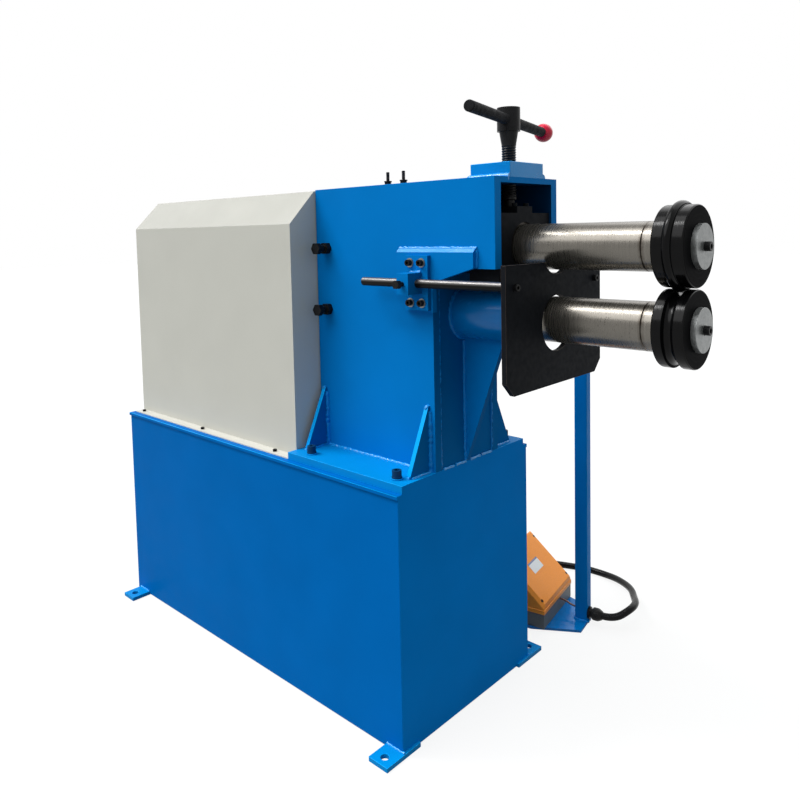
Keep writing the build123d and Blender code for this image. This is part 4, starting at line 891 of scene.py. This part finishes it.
class BEADING_OT_body(PieceOperator, bpy.types.Operator):
    """Finish the welded body: plates, gussets, bearing boss and nut block"""
    bl_idname = "beading.body"
    bl_label = "Body"

    def execute(self, context):
        edge = context.scene.beading_edge
        # The base plate takes painted light, its front more painted light, and a painted highlight on edges
        # that face up
        softened("body_base_plate", edge.plate, "machine_blue", ["plate_blue", "edge_blue", "front_blue"],
                 front_and_lit_edges, spared=flush_front)
        # Faces inside the arm take painted shade, and faces toward +X below the arm a darker painted shade
        inner = {"near_side_plate": ACROSS, "far_side_plate": -ACROSS, "arm_top_plate": -UP}
        arm_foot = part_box("column_front_plate")[1].z
        for node, way in inner.items():
            softened(node, edge.plate, "machine_blue", ["machine_blue", "inner_blue", "shade_blue"],
                     lambda face: 2 if face.normal.x > FACING and face.center.z < arm_foot
                     else face.normal.dot(way) > FACING, spared=flush_arm)
        # The column's front takes painted shade, and its back the painted shade of the arm's inside
        softened("column_front_plate", edge.plate, "machine_blue", ["shade_blue", "inner_blue"],
                 lambda face: face.normal.x < -FACING)
        # Gusset slopes that face up take a painted highlight, and their fronts and undersides painted shade
        rising, hanging = 0.15, -0.1
        softened("column_gussets", edge.plate, "machine_blue", ["machine_blue", "edge_blue", "shade_blue"],
                 lambda face: 2 if face.normal.x > FACING or face.normal.z < hanging
                 else rising < face.normal.z < LEVEL)
        softened("lower_bearing_boss", edge.plate, "machine_blue", ["boss_blue"], all_round=True)
        # The nut block takes painted light, lighter still on its front, and a painted highlight on edges
        # that face up
        softened("screw_nut_block", edge.block, "machine_blue", ["plate_blue", "edge_blue", "nut_blue"],
                 front_and_lit_edges, spared=flush_arm)
        return {"FINISHED"}


class BEADING_OT_welds(PieceOperator, bpy.types.Operator):
    """Run weld beads along the seams of the body and the stand"""
    bl_idname = "beading.welds"
    bl_label = "Welds"

    def execute(self, context):
        weld = context.scene.beading_weld
        calm = 0.2
        # Beads that face up take a painted highlight, and those in the shade a weaker painted highlight
        for name, finish, ripple, seams in (
                ("nut_weld", "weld_blue", weld.ripple * calm, self.nut_seam(weld.heavy)),
                ("upper_welds", "weld_blue", weld.ripple, self.upper_seams(weld.seam)),
                ("front_welds", "seam_highlight_blue", weld.ripple, self.front_seams(weld.seam))):
            made = grown(name, seam_mesh(name, seams), weld_tree(), finish, Step=weld.step, Ripple=ripple,
                         Seed=weld.seed)
            placed(made, "machine_blue")
        return {"FINISHED"}

    def nut_seam(self, heavy):
        """Radius and points of the thick seam on three sides of the nut block."""
        low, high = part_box("screw_nut_block")
        inset = 0.001
        front = high.x - inset
        corners = (front, low.y), (low.x, low.y), (low.x, high.y), (front, high.y)
        return [(heavy, [(x, y, low.z) for x, y in corners])]

    def both_sides(self, plain, rows):
        """Radius and points of straight seams, from rows of (share of a plain bead, start, end)."""
        return [(plain * share, [(x, side * y, z) for x, y, z in ends])
                for side in (-1, 1) for share, *ends in rows]

    def upper_seams(self, plain):
        """Radius and points of the seams that catch the light.

        They are at the foot of column and cheeks, on the gussets' ends, brackets, clamps and tabs.
        """
        low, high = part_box("gauge_brackets")
        cheek, tab_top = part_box("near_side_plate")[0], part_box("foot_tabs")[1].z
        base, wall = cheek.z, abs(cheek.y)
        gusset_foot, gusset_top, foot_end, inset = in_metres(213, 832, 209, 2)
        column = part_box("body_base_plate")[1].x - inset
        clamp_rear, clamp_front, clamp_y, clamp_top = in_metres(589, 623, 162, 1175)
        tab_x, tab_half, cabinet_y = in_metres(612.5, 28, 277.5)
        rear_gusset, front_gusset = GUSSET_FACES
        rows = [(0.9, (column, start, base), (column, stop, base))
                for start, stop in (in_metres(10, 52), in_metres(60, 103))]
        rows.append((1, (front_gusset[1], wall, base), (front_gusset[1], foot_end, base)))
        rows.append((1.2, (rear_gusset[1], wall, base), (front_gusset[0], wall, base)))
        for rear, front in GUSSET_FACES:
            for share, y, z in ((2, wall, gusset_top), (1.5, gusset_foot, base)):
                rows.append((share, (rear + inset, y, z), (front - inset, y, z)))
        rows.append((1.1, (low.x, wall, high.z), (high.x, wall, high.z)))
        rows.append((1.2, (clamp_rear, clamp_y, clamp_top), (clamp_front, clamp_y, clamp_top)))
        for x in (-tab_x, tab_x):
            rows.append((0.9, (x - tab_half, cabinet_y, tab_top), (x + tab_half, cabinet_y, tab_top)))
        return self.both_sides(plain, rows)

    def front_seams(self, plain):
        """Radius and points of the seams in the shade.

        They are on column, rib and boss, the gussets' sides, the brackets' ends and the foot of the post.
        """
        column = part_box("column_front_plate")[1]
        low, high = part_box("gauge_brackets")
        cheek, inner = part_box("near_side_plate")[0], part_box("arm_top_plate")[1].y
        base, wall = cheek.z, abs(cheek.y)
        boss_r, boss_z, rib_y, rib_top, gusset_top, foot_end = in_metres(65.5, 1062, 8, 990, 824, 209)
        bracket_top, long_end, short_end = (high.z - drop for drop in in_metres(4, 120, 46))
        sole_top, ring_steps = 8, 48
        turns = [TURN * step / ring_steps for step in range(ring_steps + 1)]
        boss = [(column.x, boss_r * math.sin(angle), boss_z + boss_r * math.cos(angle)) for angle in turns]
        corners = (-40, 60), (0, 60), (0, 100), (-40, 100), (-40, 60)
        post = [on_stand(*corner, sole_top) for corner in corners]
        faces = GUSSET_FACES[0] + GUSSET_FACES[1]
        rows = [(1.2, (column.x, rib_y, base), (column.x, rib_y, rib_top)),
                (1, (column.x, inner, base), (column.x, inner, column.z))]
        for x in faces:
            rows.append((1.7, (x, wall, base), (x, wall, gusset_top)))
            if x < max(faces):
                rows.append((1, (x, wall, base), (x, foot_end, base)))
        rows.append((0.9, (low.x, wall, bracket_top), (low.x, wall, long_end)))
        rows.append((1, (high.x, wall, bracket_top), (high.x, wall, short_end)))
        return [(plain * 1.4, boss), (plain * 1.2, post)] + self.both_sides(plain, rows)


class BEADING_OT_cover(PieceOperator, bpy.types.Operator):
    """Finish the drive cover and its screws"""
    bl_idname = "beading.cover"
    bl_label = "Drive cover"

    def execute(self, context):
        # The cover's rounded edges take a painted highlight and its slope painted shade
        softened("gear_cover", context.scene.beading_edge.sheet, "cover_grey",
                 ["cover_grey", "cover_edge", "cover_slope"],
                 lambda face: on_edge(face) or 2 * (SLOPING < face.normal.z < LEVEL))
        dressed("black_oxide", "cover_screws")
        return {"FINISHED"}


class BEADING_OT_gauge(PieceOperator, bpy.types.Operator):
    """Finish the depth gauge: brackets, clamps, rods, stop plate and their bolts"""
    bl_idname = "beading.gauge"
    bl_label = "Depth gauge"

    def execute(self, context):
        edge = context.scene.beading_edge
        # The brackets' top chamfer takes the beads' painted highlight; the clamps take a painted highlight
        # on edges that face up and painted shade on their fronts
        softened("gauge_brackets", edge.plate, "machine_blue", ["machine_blue", "weld_blue"],
                 lambda face: SLOPING < face.normal.z < FACING and not on_edge(face))
        softened("rod_clamps", edge.plate, "machine_blue", ["machine_blue", "edge_blue", "shade_blue"],
                 front_and_lit_edges)
        finer = 0.6
        softened("stop_plate", edge.plate * finer, "dark_iron", ["dark_iron", "worn_iron"], on_edge,
                 body="depth_gauge")
        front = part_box("stop_plate")[1].x
        # The rods take painted light: bright above, dark below
        softened("gauge_rods", edge.sheet, "dull_steel", ["rod_steel", "black_oxide"],
                 lambda face: face.center.x > front + HAIR, body="depth_gauge", all_round=True)
        dressed("black_oxide", "clamp_bolts", "near_lock_screw", "far_lock_screw")
        dressed("zinc_plate", "clamp_washers")
        return {"FINISHED"}


class BEADING_OT_screw(PieceOperator, bpy.types.Operator):
    """Cut the pressure screw's thread and finish the bearing block, keeper, bar and ball"""
    bl_idname = "beading.screw"
    bl_label = "Pressure screw"

    def execute(self, context):
        edge, thread = context.scene.beading_edge, context.scene.beading_thread
        softened("bearing_block", edge.plate, "dark_iron", body="upper_carrier")
        dressed("dark_iron", "screw_keeper", "rear_trunnion_block", "lower_rear_block")
        dressed("bar_black", "handle_bar")
        dressed("dull_steel", "thrust_pad")
        dressed("ball_red", "handle_knob")
        hub_low = 1.512
        softened("pressure_screw", edge.sheet, "black_oxide", ["screw_black"], body="pressure_screw",
                 dropped=lambda spot: spot.z < hub_low - HAIR, all_round=True)
        low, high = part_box("pressure_screw")
        axis = (low.x + high.x) / 2, (low.y + high.y) / 2, 0
        shape = bmesh.new()
        lathe(shape, self.rows_below(hub_low, low.z, thread), around=48, centre=axis)
        made = new_object("pressure_screw_thread", shape, "screw_black")
        placed(made, "black_oxide", body="pressure_screw")
        return {"FINISHED"}

    def rows_below(self, hub_low, tip, thread):
        """Rows of the screw below its hub: pin, neck, thread and the cone that leads into the hub."""
        pin_end_r, pin_r, neck_r, shoulder_r, thread_r = in_metres(7.2, 7.95, 13, 16, 18)
        neck_low, neck_high, thread_low, thread_high = in_metres(1322.8, 1345.8, 1348, 1482)
        cone_low, cone_r, hub_r, chamfer, lap = in_metres(1483.5, 18.2, 22.8, 1, 0.5)
        rows = plain_rows((tip, pin_end_r), (tip + chamfer, pin_r), (neck_low, pin_r), (neck_low, neck_r),
                          (neck_high, neck_r), (neck_high + chamfer, shoulder_r))
        rows += thread_rows(thread_low, thread_high, thread_r, thread.screw_depth, thread.screw_pitch)
        return rows + plain_rows((cone_low, cone_r), (hub_low - chamfer, hub_r), (hub_low + lap, hub_r))


class BEADING_OT_shafts(PieceOperator, bpy.types.Operator):
    """Finish the shafts, rollers, end washers, gears and bushes"""
    bl_idname = "beading.shafts"
    bl_label = "Shafts and rollers"

    def execute(self, context):
        edge = context.scene.beading_edge
        washer = 0.012
        for side in ("lower", "upper"):
            body = side + "_shaft"
            dressed("turned_steel_" + side, body)
            softened(side + "_roller", edge.sheet, "roller_black",
                     ["roller_black_" + side, "roller_face_" + side],
                     lambda face: abs(face.normal.x) > FACING, body=body, all_round=True)
            dressed("dull_steel", side + "_gear")
            # The bushes take a dark colour that paints the shade of their recesses
            dressed("bronze", side + "_bushes")
            washer_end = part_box(side + "_roller")[1].x + washer
            softened(side + "_retainer", edge.sheet, "zinc_plate", ["zinc_plate", "black_oxide"],
                     lambda face: face.center.x > washer_end + HAIR, body=body, all_round=True)
        return {"FINISHED"}


class BEADING_OT_fasteners(PieceOperator, bpy.types.Operator):
    """Finish the base bolts, pivot bolts and studs"""
    bl_idname = "beading.fasteners"
    bl_label = "Bolts and studs"

    def execute(self, context):
        edge = context.scene.beading_edge
        washer = 0.0045
        washer_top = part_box("body_base_plate")[1].z + washer
        # The washers under the bolts take the lighter blue, which is painted light
        softened("base_bolts", edge.sheet, "black_oxide", ["bolt_blue", "plate_blue"],
                 lambda face: face.center.z < washer_top)
        softened("pivot_bolts", edge.sheet, "black_oxide")
        self.studs(context.scene.beading_thread)
        return {"FINISHED"}

    def studs(self, thread):
        """The studs on the arm, each with a nut, the nut's flange and a thread."""
        low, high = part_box("arm_top_studs")
        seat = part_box("arm_top_plate")[1].z
        nut_height, flange_height, nut_chamfer, chamfer, inset = in_metres(16.5, 3.5, 1, 0.5, 2)
        nut_r, nut_end_r, flange_r, flange_end_r = in_metres(9.8, 8.8, 11, 10.6)
        stud_r, foot_r, neck_r, tip_r = in_metres(5, 4.5, 4.2, 3.2)
        nut_top = seat + nut_height
        top = nut_top + flange_height
        nut = plain_rows((seat, nut_r), (nut_top - nut_chamfer, nut_r), (nut_top, nut_end_r))
        flange = plain_rows((nut_top, flange_end_r), (nut_top + chamfer, flange_r),
                            (top - chamfer, flange_r), (top, flange_end_r))
        stud = plain_rows((low.z, foot_r), (low.z + chamfer, stud_r))
        stud += thread_rows(nut_top + inset, high.z - inset, stud_r, thread.stud_depth, thread.stud_pitch)
        stud += plain_rows((high.z - chamfer, neck_r), (high.z, tip_r))
        shape = bmesh.new()
        for x in STUDS_X:
            for rows, around in ((nut, 6), (flange, 24), (stud, 20)):
                lathe(shape, rows, around, centre=(x, 0, 0))
        placed(new_object("arm_top_studs_finished", shape, "black_oxide"), "black_oxide", "arm_top_studs")


class BEADING_OT_drive(PieceOperator, bpy.types.Operator):
    """Finish the drive under the cover"""
    bl_idname = "beading.drive"
    bl_label = "Drive"

    def execute(self, context):
        dressed("drive_grey", "gearmotor_stand", "reducer_housing", "motor_housing")
        dressed("dull_steel", "shaft_coupling", "reducer_output", "reducer_layshaft", "motor_rotor")
        return {"FINISHED"}


class BEADING_OT_foot_switch(PieceOperator, bpy.types.Operator):
    """Finish the foot switch, its stand and the control box"""
    bl_idname = "beading.foot_switch"
    bl_label = "Foot switch"

    def execute(self, context):
        edge = context.scene.beading_edge
        sole_top = 0.0085
        softened("pedal_stand", edge.sheet, "machine_blue", ["machine_blue", "sole_blue"],
                 lambda face: face.center.z < sole_top)
        softened("pedal_base", edge.moulded, "pedal_grey")
        softened("control_box", edge.plate, "box_grey")
        dressed("ball_red", "emergency_button")
        dressed("pedal_grey", "treadle")
        self.spring()
        self.find_slope()
        self.wells(softened("pedal_hood", edge.moulded, "hood_orange"))
        self.plate()
        softened("cable_glands", edge.sheet, "black_plastic")
        self.gland_ribs()
        return {"FINISHED"}

    def spring(self):
        """The return spring, which stands on the floor of the foot switch under the treadle."""
        low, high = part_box("treadle_spring")
        wire, seat, roof = in_metres(1, 12, 55)
        centre = (low + high) / 2
        name = "treadle_spring_coil"
        made = grown(name, bpy.data.meshes.new(name), coil_tree(), "dull_steel", Turns=7.0, Wire=wire,
                     Radius=(high.x - low.x) / 2 - wire, Height=roof - seat - 2 * wire,
                     Place=(centre.x, centre.y, seat + wire))
        placed(made, "dull_steel", "treadle_spring")
        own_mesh(made)

    def find_slope(self):
        """The slope of the hood: its foot and the ways across, uphill and out of it."""
        self.foot, head = on_stand(-101, 0, 85), on_stand(-240, 0, 210)
        self.across = (on_stand(0, 1, 0) - on_stand(0, 0, 0)).normalized()
        self.uphill = (head - self.foot).normalized()
        self.out = self.across.cross(self.uphill).normalized()

    def on_slope(self, up, over, lift=0.0):
        """A place on the slope, in mm from the middle of its foot."""
        up, over, lift = in_metres(up, over, lift)
        return self.foot + self.uphill * up + self.across * over + self.out * lift

    def wells(self, hood):
        """A screw in a well at each corner of the hood."""
        rows, columns, depth = (13, 170), (-41, 180), 3
        floor, mouth, floor_r, mouth_r, head_r, head_height = in_metres(-depth, 10, 5.5, 5.8, 4.6, 2.2)
        turn = self.out.to_track_quat("Z", "Y").to_matrix().to_4x4()
        wells = bmesh.new()
        places = []
        for up in rows:
            for over in columns:
                first = len(wells.verts)
                lathe(wells, plain_rows((floor, floor_r), (mouth, mouth_r)), around=20)
                wells.verts.ensure_lookup_table()
                bmesh.ops.transform(wells, matrix=Matrix.Translation(self.on_slope(up, over)) @ turn,
                                    verts=wells.verts[first:])
                places.append((self.on_slope(up, over, -depth), self.out, self.across))
        cutter = new_object("hood_wells", wells)
        cut = hood.modifiers.new("Wells", "BOOLEAN")
        cut.operation = "DIFFERENCE"
        cut.solver = "EXACT"
        cut.object = cutter
        hood.modifiers.new("Flats", "WEIGHTED_NORMAL").keep_sharp = True
        made_plain(hood)
        bpy.data.objects.remove(cutter)
        scattered("hood_screws", socket_head(head_r, head_height), "black_oxide", places)

    def plate(self):
        """The blank plate on the slope, with a plain band along its upper edge."""
        lower, band, upper, near, far, sunk, proud = 82, 113, 119, 28, 100, -0.2, 0.6
        plate = bmesh.new()
        for start, stop, finish in ((lower, band, 0), (band, upper, 1)):
            corners = [(start, near), (stop, near), (stop, far), (start, far)]
            floor, roof = ([plate.verts.new(self.on_slope(*corner, lift)) for corner in corners]
                           for lift in (sunk, proud))
            sides = [(floor[step], floor[after], roof[after], roof[step])
                     for step, after in ((0, 1), (1, 2), (2, 3), (3, 0))]
            for loop in [roof, floor[::-1], *sides]:
                plate.faces.new(loop).material_index = finish
        bmesh.ops.recalc_face_normals(plate, faces=plate.faces)
        placed(new_object("hood_plate", plate, "plate_white", "plate_band"), "hood_orange")

    def gland_ribs(self):
        """Ribs round the nuts of both cable glands."""
        length, width, height, rounding, nut_r = in_metres(16, 2.2, 2.4, 0.6, 18.5)
        count, back = 18, 20.5
        rib = bmesh.new()
        bmesh.ops.create_cube(rib, size=1, matrix=Matrix.Diagonal((length, width, height, 1)))
        bmesh.ops.bevel(rib, geom=rib.edges[:], offset=rounding, segments=1, affect="EDGES")
        x, y, z = POST_GLAND
        post = on_stand(x - back, y, z), (on_stand(1, 0, 0) - on_stand(0, 0, 0)).normalized()
        x, y, z = WALL_GLAND
        wall = Vector(in_metres(x, y - back, z)), ACROSS
        places = []
        for centre, way in (post, wall):
            level = way.cross(UP).normalized()
            for step in range(count):
                angle = TURN * step / count
                out = level * math.cos(angle) + UP * math.sin(angle)
                places.append((centre + out * nut_r, out, way))
        scattered("gland_ribs", rib, "black_plastic", places)


class BEADING_OT_stage(PieceOperator, bpy.types.Operator):
    """Set up the floor, the light and the camera"""
    bl_idname = "beading.stage"
    bl_label = "Stage"

    def execute(self, context):
        light = context.scene.beading_light
        context.scene.view_settings.view_transform = "Standard"
        self.floor(light)
        self.world(context.scene, light)
        self.lamp("key", light.key, light.key_angle, light.key_from)
        self.lamp("front_glint", light.glint, light.glint_angle, light.front_glint)
        self.lamp("rear_glint", light.glint, light.glint_angle, light.rear_glint)
        self.lamp("back", light.back, light.key_angle, light.back_from)
        self.camera(context.scene, context.scene.beading_shot)
        return {"FINISHED"}

    def lamp(self, name, level, angle, source):
        """A far lamp that gives so much light to a surface that faces it."""
        lamp = bpy.data.lights.new(name, "SUN")
        lamp.energy = level * math.pi
        lamp.angle = angle
        linked(name, lamp).rotation_euler = Vector(source).to_track_quat("Z", "Y").to_euler()

    def picked(self, tree, hidden, seen):
        """One shader for rays from the camera, from gloss and through glass, another for scattered light."""
        path = tree.nodes.new("ShaderNodeLightPath").outputs
        rays = worked_out(tree, "MAXIMUM", path["Is Camera Ray"], path["Is Glossy Ray"])
        rays = worked_out(tree, "MAXIMUM", rays, path["Is Transmission Ray"])
        return add_node(tree, "ShaderNodeMixShader", {0: rays, 1: hidden, 2: seen}).outputs["Shader"]

    def floor(self, light):
        """A wide pale floor that keeps a soft shadow."""
        sheet = bmesh.new()
        bmesh.ops.create_grid(sheet, x_segments=8, y_segments=8, size=30)
        mesh = bpy.data.meshes.new("studio_floor")
        sheet.to_mesh(mesh)
        sheet.free()
        pale = bpy.data.materials.new("studio_floor")
        pale.use_nodes = True
        tree = pale.node_tree
        tree.nodes.remove(tree.nodes["Principled BSDF"])
        bounce, shaded = (
            add_node(tree, "ShaderNodeBsdfDiffuse", {"Color": (level, level, level, 1)}).outputs["BSDF"]
            for level in (light.floor, light.shade))
        glow = tree.nodes.new("ShaderNodeEmission").outputs["Emission"]
        blend = add_node(tree, "ShaderNodeMixShader", {0: light.shadow, 1: glow, 2: shaded})
        both = self.picked(tree, bounce, blend.outputs["Shader"])
        tree.links.new(both, tree.nodes["Material Output"].inputs["Surface"])
        mesh.materials.append(pale)
        linked("studio_floor", mesh)

    def world(self, scene, light):
        """White to the eye, and an even fill for the light."""
        world = bpy.data.worlds.new("studio")
        world.use_nodes = True
        tree = world.node_tree
        fill = tree.nodes["Background"]
        fill.inputs["Color"].default_value = (*light.fill_tint, 1)
        fill.inputs["Strength"].default_value = light.fill
        white = add_node(tree, "ShaderNodeBackground", {"Color": (1, 1, 1, 1)})
        both = self.picked(tree, fill.outputs["Background"], white.outputs["Background"])
        tree.links.new(both, tree.nodes["World Output"].inputs["Surface"])
        scene.world = world

    def camera(self, scene, shot):
        """The photograph's point of view."""
        level = math.cos(shot.pitch)
        east, north = math.cos(shot.azimuth), math.sin(shot.azimuth)
        ahead = Vector((-north * level, east * level, -math.sin(shot.pitch)))
        right = Vector((east, north, 0))
        above = right.cross(ahead)
        across = right * math.cos(shot.roll) + above * math.sin(shot.roll)
        upward = above * math.cos(shot.roll) - right * math.sin(shot.roll)
        optics = bpy.data.cameras.new("photo_view")
        optics.lens = shot.lens
        optics.shift_x = shot.shift_x
        optics.shift_y = shot.shift_y
        scene.camera = linked("photo_view", optics)
        facing = Matrix((across, upward, -ahead)).transposed().to_4x4()
        scene.camera.matrix_world = Matrix.Translation(Vector(shot.place)) @ facing


OPERATORS = (BEADING_OT_finishes, BEADING_OT_cords, BEADING_OT_cabinet, BEADING_OT_body, BEADING_OT_welds,
             BEADING_OT_cover, BEADING_OT_gauge, BEADING_OT_screw, BEADING_OT_shafts, BEADING_OT_fasteners,
             BEADING_OT_drive, BEADING_OT_foot_switch, BEADING_OT_stage)


class BEADING_PT_panel(bpy.types.Panel):
    """Settings and steps of the tube beading machine"""
    bl_idname = "BEADING_PT_panel"
    bl_label = "Tube beading machine"
    bl_space_type = "VIEW_3D"
    bl_region_type = "UI"
    bl_category = "Beading"

    def draw(self, context):
        for name, group in SETTINGS.items():
            box = self.layout.box()
            for key in group.__annotations__:
                box.prop(getattr(context.scene, name), key)
        for operator in OPERATORS:
            self.layout.operator(operator.bl_idname)


def register():
    for name, group in SETTINGS.items():
        bpy.utils.register_class(group)
        setattr(bpy.types.Scene, name, PointerProperty(type=group))
    for kind in (*OPERATORS, BEADING_PT_panel):
        bpy.utils.register_class(kind)


def unregister():
    for kind in reversed((*OPERATORS, BEADING_PT_panel)):
        bpy.utils.unregister_class(kind)
    for name, group in reversed(SETTINGS.items()):
        delattr(bpy.types.Scene, name)
        bpy.utils.unregister_class(group)


def main():
    register()
    for operator in OPERATORS:
        family, step = operator.bl_idname.split(".")
        getattr(getattr(bpy.ops, family), step)()


if __name__ == "__main__":
    main()
